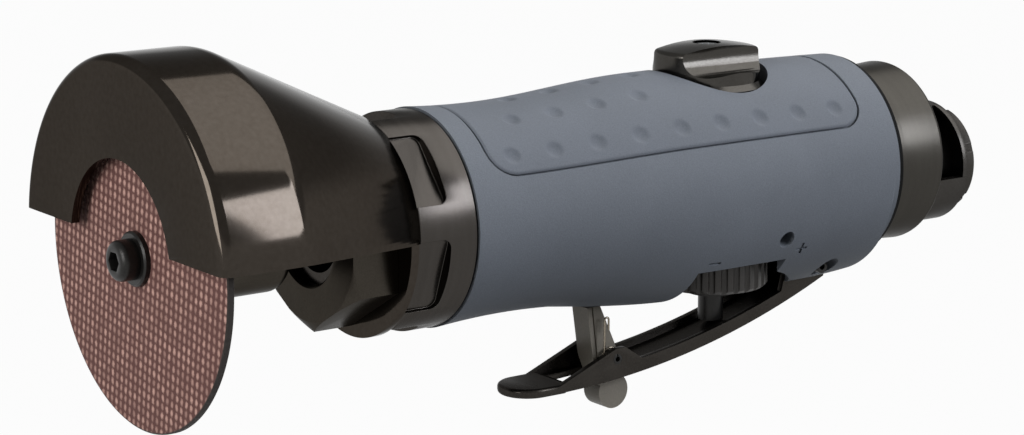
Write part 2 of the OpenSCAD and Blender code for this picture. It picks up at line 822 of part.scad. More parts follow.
knob_top = knob_seat_z + clear + knob_h;
knob_screw_d = 4;
scoop_r = 4.6;
knob_crown = 1.3;
flare_h = 1.8;
module reverse_knob() {
    base_z = knob_seat_z + clear;
    color("#57544c") placed() difference() {
        translate([knob_x, 0, 0]) rotate_extrude() polygon(concat(
            [[0, base_z], [knob_r + knob_flare, base_z], [knob_r + knob_flare, base_z + edge],
             [knob_r, base_z + flare_h]],
            arc([knob_r - 1.2, knob_top - knob_crown - 1.2], 1.2, 0, 80, 5),
            [for (i = [4:-1:0]) [(knob_r - 1.2) * i / 5, knob_top - knob_crown * pow(i / 5, 2)]]
        ));
        for (s = [-1, 1])
            translate([knob_x, s * (knob_bar_w / 2 + scoop_r), base_z + knob_base_h + scoop_r])
                rotate([0, 90, 0]) cylinder(r = scoop_r, h = far, center = true);
        upright(knob_x, 0, far, knob_screw_d / 2 + seat);
        upright(knob_x, knob_top - 3, far, knob_screw_d / 2 + 1.4);
    }
}

module reverse_valve() {
    color("#a58a52") placed() difference() {
        upright(knob_x, reverse_valve_z, knob_seat_z + clear, reverse_valve_r);
        upright(knob_x, knob_seat_z - knob_screw_bite - 2, far, knob_screw_d / 2 + seat);
        translate([knob_x, -far, reverse_valve_z + valve_port_up]) rotate([-90, 0, 0])
            cylinder(r = valve_port_r, h = 2 * far);
        translate([knob_x, 0, valve_groove_z]) rotate_extrude()
            translate([reverse_valve_r - 1.5, -0.8]) square([3, 1.6]);
    }
}
valve_groove_down = 3.4;
valve_groove_z = knob_seat_z - valve_groove_down;
knob_screw_bite = 6;
valve_port_up = 4.5;
valve_port_r = 2.5;

module reverse_valve_seal() {
    color("#1d1d1d") placed() translate([knob_x, 0, valve_groove_z]) rotate_extrude()
        translate([reverse_valve_r - 0.75, 0]) circle(0.72);
}

module knob_screw() {
    color("#777a7c") placed() difference() {
        union() {
            upright(knob_x, knob_seat_z - knob_screw_bite, knob_top - 2, knob_screw_d / 2);
            upright(knob_x, knob_top - 3, knob_top - 1, knob_screw_d / 2 + 1.2);
        }
        translate([knob_x, 0, knob_top - 2.2]) cylinder(r = 1.45, h = far, $fn = 6);
    }
}

// Throttle valve and regulator

module regulator_knob() {
    color("#4b4740") placed() difference() {
        upright(throttle_x, -regulator_low, regulator_top, regulator_r);
        upright(throttle_x, -far, far, neck_r + running);
        for (i = [0:flute_count - 1])
            translate([throttle_x, 0, 0]) rotate([0, 0, i * 360 / flute_count])
                translate([regulator_r + 0.1, 0, -far]) cylinder(r = flute_r, h = far);
    }
}

clip_z = -regulator_low - clear - clip_t;
module regulator_clip() {
    color("#8d9092") placed() difference() {
        upright(throttle_x, clip_z, clip_z + clip_t, neck_r + 2);
        upright(throttle_x, -far, far, neck_r - 0.8 + seat);
    }
}

module valve_bushing() {
    color("#a58a52") placed() difference() {
        union() {
            upright(throttle_x, -core_floor, -valve_seat_z, bushing_r);
            upright(throttle_x, clip_z - 0.8, -core_floor, neck_r);
        }
        upright(throttle_x, -far, 0, plunger_r + running);
        translate([throttle_x, 0, clip_z - seat]) rotate_extrude()
            translate([neck_r - 0.8, 0]) square([3, clip_t + 2 * seat]);
        translate([throttle_x, 0, bushing_seal_z]) rotate_extrude()
            translate([bushing_r - 1.5, -0.8]) square([3, 1.6]);
    }
}
bushing_seal_z = -(core_floor + valve_seat_z) / 2;

module bushing_seal() {
    color("#1d1d1d") placed() translate([throttle_x, 0, bushing_seal_z]) rotate_extrude()
        translate([bushing_r - 0.75, 0]) circle(0.73);
}

module throttle_plunger() {
    color("#8a8378") placed() {
        upright(throttle_x, plunger_low, plunger_head_z + 0.5, plunger_r);
        upright(throttle_x, plunger_head_z, plunger_head_z + plunger_head_h, plunger_head_r);
    }
}

module plunger_seal() {
    color("#1d1d1d") placed() difference() {
        upright(throttle_x, plunger_head_z - plunger_seal_t, plunger_head_z, plunger_head_r);
        upright(throttle_x, -far, far, plunger_r + seat);
    }
}

valve_spring_low = plunger_head_z + plunger_head_h + valve_wire / 2 + 0.1;
valve_spring_high = bore_top_z - valve_wire / 2 - 0.1;
rings_per_curl = 8;
valve_path = [for (i = [0:valve_curls * rings_per_curl])
    let (a = 360 * i / rings_per_curl)
    [throttle_x + valve_coil_r * cos(a), valve_coil_r * sin(a),
     valve_spring_low + (valve_spring_high - valve_spring_low) * i / (valve_curls * rings_per_curl)]];
echo(throttle_spring_gap = self_gap(valve_path, valve_wire, rings_per_curl - 2));
module throttle_spring() {
    color("#9b9ea1") placed() wire(valve_path, valve_wire / 2, [0, 0, 1]);
}

// Throttle lever and lock lever

lever_steps = 16;
function under_line(x0, x1, up) =
    [for (i = [0:lever_steps]) let (x = x0 + (x1 - x0) * i / lever_steps) [x, lever_under(x) + up]];
lever_end = pivot_x + lever_tail;
peak_z = lock_z + peak_w;
module throttle_lever() {
    color("#3f3832") placed() difference() {
        union() {
            side_plate(lever_w) {
                polygon(concat(
                    under_line(lever_tongue_x, lever_end, 0),
                    [for (p = under_line(lever_end, lock_x + 7.4, lever_side)) p],
                    [[peak_x + 1.6, peak_z], [peak_x - 1.2, peak_z],
                     [lever_tongue_x, lever_under(lever_tongue_x) + 1.4]]
                ));
                translate([pivot_x, pivot_z]) circle(lever_pin_d / 2 + 3);
                polygon([[pivot_x - 4.5, pivot_z], [pivot_x + 4.5, pivot_z],
                         [pivot_x + 5.5, lever_under(pivot_x + 5.5) + 1],
                         [pivot_x - 7, lever_under(pivot_x - 7) + 1]]);
            }
            // Rounded tongue
            translate([0, 0, pivot_z - lever_low - 0.4]) linear_extrude(lever_tongue_t) {
                translate([pivot_x - lever_reach + lever_w / 2, 0]) circle(lever_w / 2);
                translate([pivot_x - lever_reach + lever_w / 2, -lever_w / 2])
                    square([lever_tongue_x - pivot_x + lever_reach - lever_w / 2 + 3, lever_w]);
            }
        }
        // Inside of the channel
        side_plate(lever_w - 2 * lever_wall) polygon(concat(
            under_line(lever_tongue_x + 2, lever_end + 1, lever_wall),
            [[lever_end + 1, 0], [lever_tongue_x + 2, 0]]
        ));
        translate([pivot_x, 0, pivot_z]) rotate([90, 0, 0])
            cylinder(d = lever_pin_d + 2 * running, h = far, center = true);
        translate([lock_x, 0, lock_z]) rotate([90, 0, 0])
            cylinder(d = lock_pin_d + 2 * seat, h = far, center = true);
        // Slot for the lock lever
        translate([(slot_front + slot_rear) / 2, 0, -far]) linear_extrude(far)
            rounded_slot(slot_rear - slot_front, lock_t + 2 * clear, 1.5);
    }
}

module lever_pin() {
    color("#6f7173") placed() translate([pivot_x, 0, pivot_z]) rotate([90, 0, 0]) difference() {
        cylinder(d = lever_pin_d, h = lever_pin_len, center = true);
        cylinder(d = lever_pin_d - 1.4, h = far, center = true);
    }
}

module lock_lever() {
    color("#6a655c") placed() difference() {
        translate([lock_x, 0, lock_z]) union() {
            side_plate(lock_t) polygon([
                [-lock_lean, lock_h], [-lock_lean + lock_top_w, lock_h], [2.2, 2.6],
                [2.9, 0], [4.4, -5], [1.8 + lobe_r * 0.9, -lobe_drop + lobe_r * 0.4],
                [1.8 - lobe_r * 0.9, -lobe_drop + lobe_r * 0.4], [-2.8, -4], [-4.4, 0]
            ]);
            translate([1.8, 0, -lobe_drop]) rotate([90, 0, 0])
                cylinder(r = lobe_r, h = lock_t, center = true);
        }
        translate([lock_x, 0, lock_z]) rotate([90, 0, 0])
            cylinder(d = lock_pin_d + 2 * running, h = far, center = true);
    }
}

module lock_pin() {
    color("#8d8f91") placed() translate([lock_x, 0, lock_z]) rotate([90, 0, 0]) difference() {
        cylinder(d = lock_pin_d, h = lever_w, center = true);
        cylinder(d = lock_pin_d - 1.2, h = far, center = true);
    }
}

// Torsion spring on the lock pin: a short coil, a long leg and its turned back end
lock_curls = 1.5;
lock_spring_y = -lock_t / 2 - lock_wire / 2 - 0.1;
lock_spring_pitch = lock_wire + 0.45;
leg_h = 9.4;
leg_turn_r = 0.6;
lock_path = concat(
    [for (i = [0:lock_curls * rings_per_curl])
        let (a = 180 + 360 * (i / rings_per_curl - lock_curls))
        [lock_x + lock_coil_r * cos(a), lock_spring_y - lock_spring_pitch * i / rings_per_curl,
         lock_z - lock_coil_r * sin(a)]],
    [for (i = [1:4])
        [lock_x - lock_coil_r, lock_spring_y - lock_spring_pitch * lock_curls, lock_z + leg_h * i / 4]],
    [for (i = [1:4])
        let (a = 180 - 45 * i)
        [lock_x - lock_coil_r + leg_turn_r + leg_turn_r * cos(a),
         lock_spring_y - lock_spring_pitch * lock_curls, lock_z + leg_h + leg_turn_r * sin(a)]],
    [[lock_x - lock_coil_r + 2 * leg_turn_r, lock_spring_y - lock_spring_pitch * lock_curls,
      lock_z + leg_h - 2.5]]
);
echo(lock_spring_gap = self_gap(lock_path, lock_wire, 6));
module lock_spring() {
    color("#b0aa9e") placed() wire(lock_path, lock_wire / 2, [0, 1, 0]);
}

// Rear end

module rear_gasket() {
    color("#1a1a1a") placed() difference() {
        rod(body_end, cap_x, body_rear_r - 1.2);
        rod(body_end - 1, cap_x + 1, cap_bore_r);
    }
}

cap_bore_r = 18.5;
cap_wall = 3.4;
cap_land = 4.4;
cap_step = 0.25;
ports = 8;
port_ring_r = (inlet_r + deflector_r - 1.6) / 2;
module exhaust_cap() {
    color("#5d574d") placed() difference() {
        revolved(concat(
            [[cap_x, cap_bore_r], [cap_x, cap_front_r], [cap_x + cap_land, cap_front_r],
             [cap_x + cap_land, cap_front_r - cap_step]],
            arc([cap_end - 1.2, cap_rear_r - 1.2], 1.2, 90, 0, 4),
            [[cap_end, 0], [cap_end - cap_wall, 0], [cap_end - cap_wall, cap_bore_r]]
        ));
        rod(cap_end - cap_wall - 1, cap_end + 1, inlet_r + seat, -inlet_drop);
        for (i = [0:ports - 1])
            translate([0, 0, -inlet_drop]) rotate([i * 360 / ports, 0, 0])
                rod(cap_end - cap_wall - 1, cap_end + 1, 1.1, port_ring_r);
    }
}

module silencer_felt() {
    color("#8f8a80") placed() difference() {
        rod(cap_x, cap_end - cap_wall - seat, cap_bore_r - seat);
        rod(cap_x - 1, cap_end, inlet_r + seat, -inlet_drop);
    }
}

// Angles are counted from the top towards the near side
window_from = 15;
window_to = 98;
collar_notches = 6;
drum_wall = 1.6;
drum_end_wall = 1.2;
clip_x = inlet_x - 1.5;
clip_r = inlet_r + 1.6;
module exhaust_deflector() {
    color("#4d473d") placed() translate([0, 0, -inlet_drop]) difference() {
        revolved([
            [drum_x, inlet_r + clear], [drum_x, deflector_r],
            [drum_end + drum_end_wall, deflector_r], [drum_end + drum_end_wall, collar_r],
            [inlet_x - 0.4, collar_r], [inlet_x, collar_r - 0.4], [inlet_x, clip_r + clear], [clip_x - clear, clip_r + clear],
            [clip_x - clear, inlet_r + running], [drum_end, inlet_r + running],
            [drum_end, deflector_r - drum_wall], [drum_x + drum_wall, deflector_r - drum_wall],
            [drum_x + drum_wall, inlet_r + clear]
        ]);
        // Exhaust window
        translate([drum_x + drum_wall, 0, 0]) rotate([window_from, 0, 0]) rotate([90, 0, 90])
            linear_extrude(deflector_len - drum_wall - 0.4)
                polygon(concat([[0, 0]], arc([0, 0], far, 90, 90 + window_to - window_from, 6)));
        // Ways for the air from the cap's ports
        for (i = [0:ports - 1])
            rotate([i * 360 / ports, 0, 0]) rod(drum_x - 1, drum_x + drum_wall + 1, 1.1, port_ring_r);
        for (i = [0:collar_notches - 1])
            rotate([70 + i * 360 / collar_notches, 0, 0])
                translate([drum_end + drum_end_wall + 1, -1, collar_r - 0.5]) cube([collar_len, 2, 3]);
    }
}

module deflector_clip() {
    color("#8d9092") placed() tube(clip_x, clip_x + clip_t, clip_r, inlet_r - 0.7 + seat, -inlet_drop);
}

inlet_grip = 16;
inlet_thread_x = body_end - inlet_grip;
screen_t = 0.8;
screen_x = inlet_x - inlet_bore_len - screen_t;
screen_r = inlet_bore_r - 0.6;
module inlet_bushing() {
    color("#8f8672") placed() difference() {
        rod(inlet_thread_x, inlet_x, inlet_r, -inlet_drop);
        rod(inlet_x - inlet_bore_len, inlet_x + 1, inlet_bore_r, -inlet_drop);
        rod(inlet_thread_x - 1, inlet_x, inlet_bore_r - 1.2, -inlet_drop);
        rod(screen_x, inlet_x, screen_r + seat, -inlet_drop);
        revolved([[clip_x - seat, inlet_r - 0.7], [clip_x - seat, inlet_r + 1],
                  [clip_x + clip_t + seat, inlet_r + 1], [clip_x + clip_t + seat, inlet_r - 0.7]],
                 z = -inlet_drop);
    }
}

module inlet_screen() {
    color("#9fa1a3") placed() difference() {
        rod(screen_x, screen_x + screen_t, screen_r, -inlet_drop);
        for (i = [0:6])
            translate([0, 0, -inlet_drop]) rotate([i * 60, 0, 0])
                rod(screen_x - 1, screen_x + 2, 0.8, i == 6 ? 0 : 2.8);
    }
}

cutting_wheel();
arbor_screw();
outer_washer();
drive_hub();
wheel_guard();
clamp_nut();
nose_ring();
grip_sleeve();
thumb_pad();
motor_housing();
front_bearing_outer();
front_bearing_inner();
front_bearing_balls();
front_end_plate();
motor_cylinder();
rotor();
rotor_vanes();
rear_end_plate();
rear_bearing_outer();
rear_bearing_inner();
rear_bearing_balls();
motor_dowel();
reverse_knob();
reverse_valve();
reverse_valve_seal();
knob_screw();
regulator_knob();
regulator_clip();
valve_bushing();
bushing_seal();
throttle_plunger();
plunger_seal();
throttle_spring();
throttle_lever();
lever_pin();
lock_lever();
lock_pin();
lock_spring();
rear_gasket();
exhaust_cap();
silencer_felt();
exhaust_deflector();
deflector_clip();
inlet_bushing();
inlet_screen();
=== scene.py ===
"""Looks of a hand held pneumatic cut off tool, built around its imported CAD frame.

Sizes are in millimetres and are counted as in the part's source: X from the rear face of the
wheel towards the air inlet, Y to the far side, Z up from the tool's axis.
"""

import json
import logging
import math
from dataclasses import dataclass, field
from enum import Enum
from functools import lru_cache
from typing import Any, Callable, Sequence

import bpy
import numpy as np
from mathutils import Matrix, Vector


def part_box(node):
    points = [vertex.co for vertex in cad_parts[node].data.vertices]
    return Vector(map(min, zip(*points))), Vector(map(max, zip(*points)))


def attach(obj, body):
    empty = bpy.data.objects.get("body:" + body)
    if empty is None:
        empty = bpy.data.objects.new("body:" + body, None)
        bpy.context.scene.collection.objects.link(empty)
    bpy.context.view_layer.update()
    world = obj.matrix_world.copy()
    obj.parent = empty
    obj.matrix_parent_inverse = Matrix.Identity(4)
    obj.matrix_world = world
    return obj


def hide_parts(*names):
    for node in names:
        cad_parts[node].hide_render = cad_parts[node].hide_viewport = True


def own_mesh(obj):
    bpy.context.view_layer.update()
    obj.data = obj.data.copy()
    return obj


LOG = logging.getLogger("cut_off_tool")
MM = 0.001
Point2 = tuple[float, float]
Point3 = tuple[float, float, float]

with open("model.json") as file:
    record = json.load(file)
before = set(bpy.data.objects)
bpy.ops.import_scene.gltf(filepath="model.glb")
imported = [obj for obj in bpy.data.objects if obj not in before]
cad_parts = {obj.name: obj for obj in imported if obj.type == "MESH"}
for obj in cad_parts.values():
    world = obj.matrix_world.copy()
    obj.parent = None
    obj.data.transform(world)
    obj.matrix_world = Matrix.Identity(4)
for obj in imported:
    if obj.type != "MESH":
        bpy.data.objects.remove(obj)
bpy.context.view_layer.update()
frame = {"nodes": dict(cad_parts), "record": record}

# The wheel's rear face and the nose ring's middle give the start of all sizes.
SEAT_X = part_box("cutting_wheel")[1].x
AXIS_Z = (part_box("nose_ring")[0].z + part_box("nose_ring")[1].z) / 2


class Along(Enum):
    """Direction in which a piece is drawn out."""

    X = (1.0, 0.0, 0.0)
    Y = (0.0, 1.0, 0.0)
    Z = (0.0, 0.0, 1.0)


class Cut(Enum):
    """What a cutter does to a piece."""

    AWAY = "DIFFERENCE"
    KEEP = "INTERSECT"
    JOIN = "UNION"


def at(x: float, y: float, z: float) -> Vector:
    """Place in the frame of a point given in millimetres from the wheel seat.

    Args:
        x: distance along the tool.
        y: distance to the far side.
        z: height above the tool's axis.

    Returns:
        The point in metres in the frame.
    """
    return Vector((SEAT_X + x * MM, y * MM, AXIS_Z + z * MM))


def arc(cx: float, cz: float, r: float, start: float, end: float, n: int) -> list[Point2]:
    """Points of a circular arc.

    Args:
        cx: first coordinate of the centre.
        cz: second coordinate of the centre.
        r: radius.
        start: first angle in degrees from the first coordinate's direction.
        end: last angle in degrees.
        n: number of steps.

    Returns:
        The points from start to end.
    """
    angles = [math.radians(start + (end - start) * i / n) for i in range(n + 1)]
    return [(cx + r * math.cos(a), cz + r * math.sin(a)) for a in angles]


def linear(colour: str) -> tuple[float, float, float, float]:
    """Linear colour of an sRGB hex value such as #7f848d."""
    values = [int(colour[i : i + 2], 16) / 255 for i in (1, 3, 5)]
    r, g, b = (v / 12.92 if v <= 0.04045 else ((v + 0.055) / 1.055) ** 2.4 for v in values)
    return (r, g, b, 1.0)


class Bench:
    """Modelling steps shared by all pieces, each made with Blender's operators."""

    @staticmethod
    def clear() -> None:
        """Leaves edit mode and selects nothing."""
        if bpy.context.object and bpy.context.object.mode != "OBJECT":
            bpy.ops.object.mode_set(mode="OBJECT")
        bpy.ops.object.select_all(action="DESELECT")

    @staticmethod
    def pick(obj: bpy.types.Object) -> None:
        """Selects one object alone and makes it active."""
        Bench.clear()
        obj.hide_viewport = False
        obj.select_set(True)
        bpy.context.view_layer.objects.active = obj

    @staticmethod
    def named(name: str) -> bpy.types.Object:
        """Names the active object and its mesh, applies its place and returns it."""
        obj = bpy.context.object
        obj.name = name
        obj.data.name = name
        bpy.ops.object.transform_apply(location=True, rotation=True, scale=True)
        return obj

    @staticmethod
    def trace(name: str, points: Sequence[Vector]) -> bpy.types.Object:
        """Draws an open line of edges by pulling one point out again and again.

        Args:
            name: name of the object.
            points: places in the frame, in metres.

        Returns:
            The object, in edit mode, with its last point selected.
        """
        Bench.clear()
        bpy.ops.mesh.primitive_plane_add(size=MM, location=points[0])
        obj = Bench.named(name)
        bpy.ops.object.mode_set(mode="EDIT")
        bpy.ops.mesh.select_mode(type="VERT")
        bpy.ops.mesh.select_all(action="SELECT")
        bpy.ops.mesh.merge(type="CENTER")
        for a, b in zip(points, points[1:]):
            bpy.ops.mesh.extrude_region_move(TRANSFORM_OT_translate={"value": b - a})
        return obj

    @staticmethod
    def tidy(obj: bpy.types.Object) -> bpy.types.Object:
        """Merges doubles and turns the faces of a closed shape outwards."""
        Bench.pick(obj)
        bpy.ops.object.mode_set(mode="EDIT")
        bpy.ops.mesh.select_all(action="SELECT")
        bpy.ops.mesh.remove_doubles(threshold=2e-6)
        bpy.ops.mesh.normals_make_consistent(inside=False)
        bpy.ops.object.mode_set(mode="OBJECT")
        return obj

    @staticmethod
    def lathe(
        name: str, profile: Sequence[Point2], z: float = 0.0, steps: int = 128, closed: bool = True
    ) -> bpy.types.Object:
        """Turns a profile about the tool's axis, or about a line parallel to it.

        Args:
            name: name of the object.
            profile: points (x, radius) in millimetres.
            z: height of the turning line above the tool's axis.
            steps: number of steps round.
            closed: whether the profile's last point is joined to its first.

        Returns:
            The turned object.
        """
        points = [at(x, 0, z + r) for x, r in profile]
        obj = Bench.trace(name, points + points[:1] if closed else points)
        bpy.ops.mesh.select_all(action="SELECT")
        bpy.ops.mesh.remove_doubles(threshold=1e-7)
        bpy.ops.mesh.select_all(action="SELECT")
        bpy.ops.mesh.spin(
            steps=steps, angle=2 * math.pi, center=at(0, 0, z), axis=(1, 0, 0), use_auto_merge=True
        )
        bpy.ops.object.mode_set(mode="OBJECT")
        return Bench.tidy(obj)

    @staticmethod
    def upright_lathe(
        name: str, profile: Sequence[Point2], x: float, steps: int = 96
    ) -> bpy.types.Object:
        """Turns a closed profile of points (radius, z) about an upright line at x."""
        points = [at(x + r, 0, z) for r, z in profile]
        obj = Bench.trace(name, points + points[:1])
        bpy.ops.mesh.select_all(action="SELECT")
        bpy.ops.mesh.remove_doubles(threshold=1e-7)
        bpy.ops.mesh.select_all(action="SELECT")
        bpy.ops.mesh.spin(
            steps=steps, angle=2 * math.pi, center=at(x, 0, 0), axis=(0, 0, 1), use_auto_merge=True
        )
        bpy.ops.object.mode_set(mode="OBJECT")
        return Bench.tidy(obj)

    @staticmethod
    def prism(
        name: str, outline: Sequence[Point2], along: Along, low: float, high: float
    ) -> bpy.types.Object:
        """Draws out a closed outline between two planes.

        Args:
            name: name of the object.
            outline: points in the plane across the direction: (y, z), (x, z) or (x, y).
            along: direction of the drawing.
            low: first plane, in millimetres.
            high: last plane, in millimetres.

        Returns:
            The closed solid.
        """
        spread: dict[Along, Callable[[float, float], Vector]] = {
            Along.X: lambda a, b: at(low, a, b),
            Along.Y: lambda a, b: at(a, low, b),
            Along.Z: lambda a, b: at(a, b, low),
        }
        points = [spread[along](a, b) for a, b in outline]
        obj = Bench.trace(name, points + points[:1])
        bpy.ops.mesh.select_all(action="SELECT")
        bpy.ops.mesh.remove_doubles(threshold=1e-7)
        bpy.ops.mesh.select_all(action="SELECT")
        bpy.ops.mesh.edge_face_add()
        pull = Vector(along.value) * (high - low) * MM
        bpy.ops.mesh.extrude_region_move(TRANSFORM_OT_translate={"value": pull})
        bpy.ops.object.mode_set(mode="OBJECT")
        return Bench.tidy(obj)

    @staticmethod
    def rod(
        name: str, along: Along, centre: Point3, r: float, length: float, sides: int = 64
    ) -> bpy.types.Object:
        """Cylinder for cutting, with its middle at a point.

        Args:
            name: name of the object.
            along: direction of its axis.
            centre: middle, in millimetres.
            r: radius.
            length: length.
            sides: number of sides.

        Returns:
            The cylinder.
        """
        turn = {Along.X: (0, math.pi / 2, 0), Along.Y: (math.pi / 2, 0, 0), Along.Z: (0, 0, 0)}
        Bench.clear()
        bpy.ops.mesh.primitive_cylinder_add(
            vertices=sides, radius=r * MM, depth=length * MM, location=at(*centre), rotation=turn[along]
        )
        return Bench.named(name)

    @staticmethod
    def turned(obj: bpy.types.Object, angle: float, z: float = 0.0) -> bpy.types.Object:
        """Turns an object about a line along the tool, from the top towards the near side.

        Args:
            obj: object to turn.
            angle: angle in degrees.
            z: height of the line above the tool's axis.

        Returns:
            The same object with its turn applied.
        """
        Bench.pick(obj)
        bpy.context.scene.cursor.location = at(0, 0, z)
        bpy.ops.object.origin_set(type="ORIGIN_CURSOR")
        obj.rotation_euler = (math.radians(angle), 0, 0)
        bpy.ops.object.transform_apply(location=True, rotation=True, scale=True)
        bpy.context.scene.cursor.location = (0, 0, 0)
        return obj

    @staticmethod
    def carve(
        obj: bpy.types.Object, *cutters: bpy.types.Object, how: Cut = Cut.AWAY
    ) -> bpy.types.Object:
        """Applies cutters to a piece and removes them.

        Args:
            obj: piece to change.
            cutters: closed solids.
            how: whether they cut away, keep or join.

        Returns:
            The changed piece.
        """
        for cutter in cutters:
            Bench.pick(obj)
            change = obj.modifiers.new("carve", "BOOLEAN")
            change.operation = how.value
            change.solver = "EXACT"
            change.object = cutter
            bpy.ops.object.modifier_apply(modifier=change.name)
            bpy.data.objects.remove(cutter)
        return obj

    @staticmethod
    def ease(
        obj: bpy.types.Object, width: float, segments: int = 2, angle: float = 40.0
    ) -> bpy.types.Object:
        """Rounds the sharp edges of a piece.

        Args:
            obj: piece to change.
            width: width of the rounding in millimetres.
            segments: steps across the rounding.
            angle: least angle of an edge that is rounded, in degrees.

        Returns:
            The changed piece.
        """
        Bench.pick(obj)
        change = obj.modifiers.new("ease", "BEVEL")
        change.width = width * MM
        change.segments = segments
        change.limit_method = "ANGLE"
        change.angle_limit = math.radians(angle)
        change.use_clamp_overlap = True
        change.miter_outer = "MITER_ARC"
        bpy.ops.object.modifier_apply(modifier=change.name)
        return obj

    @staticmethod
    def joined(name: str, pieces: Sequence[bpy.types.Object]) -> bpy.types.Object:
        """Joins meshes into one object."""
        Bench.pick(pieces[0])
        for piece in pieces[1:]:
            piece.select_set(True)
        bpy.ops.object.join()
        return Bench.named(name)

    @staticmethod
    def wire(name: str, points: Sequence[Vector], r: float) -> bpy.types.Object:
        """Round wire along a smooth line.

        Args:
            name: name of the object.
            points: places in the frame, in metres.
            r: radius of the wire in millimetres.

        Returns:
            The wire as a mesh.
        """
        Bench.clear()
        line = bpy.data.curves.new(name, "CURVE")
        line.dimensions = "3D"
        line.bevel_depth = r * MM
        line.bevel_resolution = 4
        line.use_fill_caps = True
        spline = line.splines.new("POLY")
        spline.points.add(len(points) - 1)
        for place, p in zip(spline.points, points):
            place.co = (*p, 1.0)
        obj = bpy.data.objects.new(name, line)
        bpy.context.scene.collection.objects.link(obj)
        Bench.pick(obj)
        bpy.ops.object.convert(target="MESH")
        return Bench.named(name)

    @staticmethod
    def smooth(obj: bpy.types.Object, angle: float = 35.0) -> bpy.types.Object:
        """Shades a piece smooth up to an edge angle in degrees."""
        Bench.pick(obj)
        bpy.ops.object.shade_smooth_by_angle(angle=math.radians(angle))
        return obj


def add_node(tree: bpy.types.NodeTree, kind: str, inputs: dict[Any, Any], **settings: Any) -> Any:
    """Adds a shader node with its settings, values and links.

    Args:
        tree: node tree of the material.
        kind: Blender's name of the node.
        inputs: socket name or number to a value, or to an output socket that is linked.
        settings: properties of the node.

    Returns:
        The node.
    """
    node = tree.nodes.new(kind)
    for name, value in settings.items():
        setattr(node, name, value)
    for key, value in inputs.items():
        if isinstance(value, bpy.types.NodeSocket):
            tree.links.new(value, node.inputs[key])
        else:
            node.inputs[key].default_value = value
    return node


@dataclass(frozen=True)
class Finish:
    """Surface of one real material, as a colour that drifts, a roughness and a fine relief.

    Fields in millimetres give the size of the drift and of the grain.
    """

    name: str
    dark: str
    light: str
    rough: tuple[float, float]
    drift: float = 12.0
    grain: float = 0.5
    relief: float = 0.05
    metallic: float = 0.0
    shine: float = 0.5
    edge: float = 1.0
    sheen: float = 0.0
    stretch: Point3 = (1.0, 1.0, 1.0)

    def start(self) -> tuple[bpy.types.Material, bpy.types.NodeTree, Any, Any]:
        """Makes an empty material with its shader.

        Returns:
            The material, its tree, the shader and the object coordinates.
        """
        material = bpy.data.materials.new(self.name)
        material.use_nodes = True
        tree = material.node_tree
        tree.nodes.clear()
        shader = add_node(tree, "ShaderNodeBsdfPrincipled", {"Metallic": self.metallic})
        shader.inputs["Specular IOR Level"].default_value = self.shine
        shader.inputs["Specular Tint"].default_value = (self.edge, self.edge, self.edge, 1.0)
        shader.inputs["Sheen Weight"].default_value = self.sheen
        add_node(tree, "ShaderNodeOutputMaterial", {"Surface": shader.outputs[0]})
        coords = add_node(tree, "ShaderNodeTexCoord", {})
        scaled = add_node(
            tree,
            "ShaderNodeMapping",
            {"Vector": coords.outputs["Object"], "Scale": self.stretch},
        )
        return material, tree, shader, scaled.outputs[0]

    def material(self) -> bpy.types.Material:
        """Builds the material.

        Returns:
            A material whose colour, roughness and relief follow noise at real scales.
        """
        material, tree, shader, place = self.start()
        drift = add_node(
            tree, "ShaderNodeTexNoise", {"Vector": place, "Scale": 1 / (self.drift * MM), "Detail": 3.0}
        )
        grain = add_node(
            tree, "ShaderNodeTexNoise", {"Vector": place, "Scale": 1 / (self.grain * MM), "Detail": 2.0}
        )
        blend = add_node(
            tree,
            "ShaderNodeMath",
            {0: drift.outputs["Fac"], 1: 0.65, 2: grain.outputs["Fac"]},
            operation="MULTIPLY_ADD",
        )
        share = add_node(
            tree,
            "ShaderNodeMapRange",
            {"Value": blend.outputs[0], "From Min": 0.5, "From Max": 1.15},
        )
        colour = add_node(
            tree,
            "ShaderNodeMix",
            {0: share.outputs[0], 6: linear(self.dark), 7: linear(self.light)},
            data_type="RGBA",
        )
        tree.links.new(colour.outputs[2], shader.inputs["Base Color"])
        rough = add_node(
            tree,
            "ShaderNodeMapRange",
            {"Value": drift.outputs["Fac"], "To Min": self.rough[0], "To Max": self.rough[1]},
        )
        tree.links.new(rough.outputs[0], shader.inputs["Roughness"])
        bump = add_node(
            tree,
            "ShaderNodeBump",
            {"Height": grain.outputs["Fac"], "Strength": self.relief, "Distance": 0.3 * MM},
        )
        tree.links.new(bump.outputs[0], shader.inputs["Normal"])
        return material


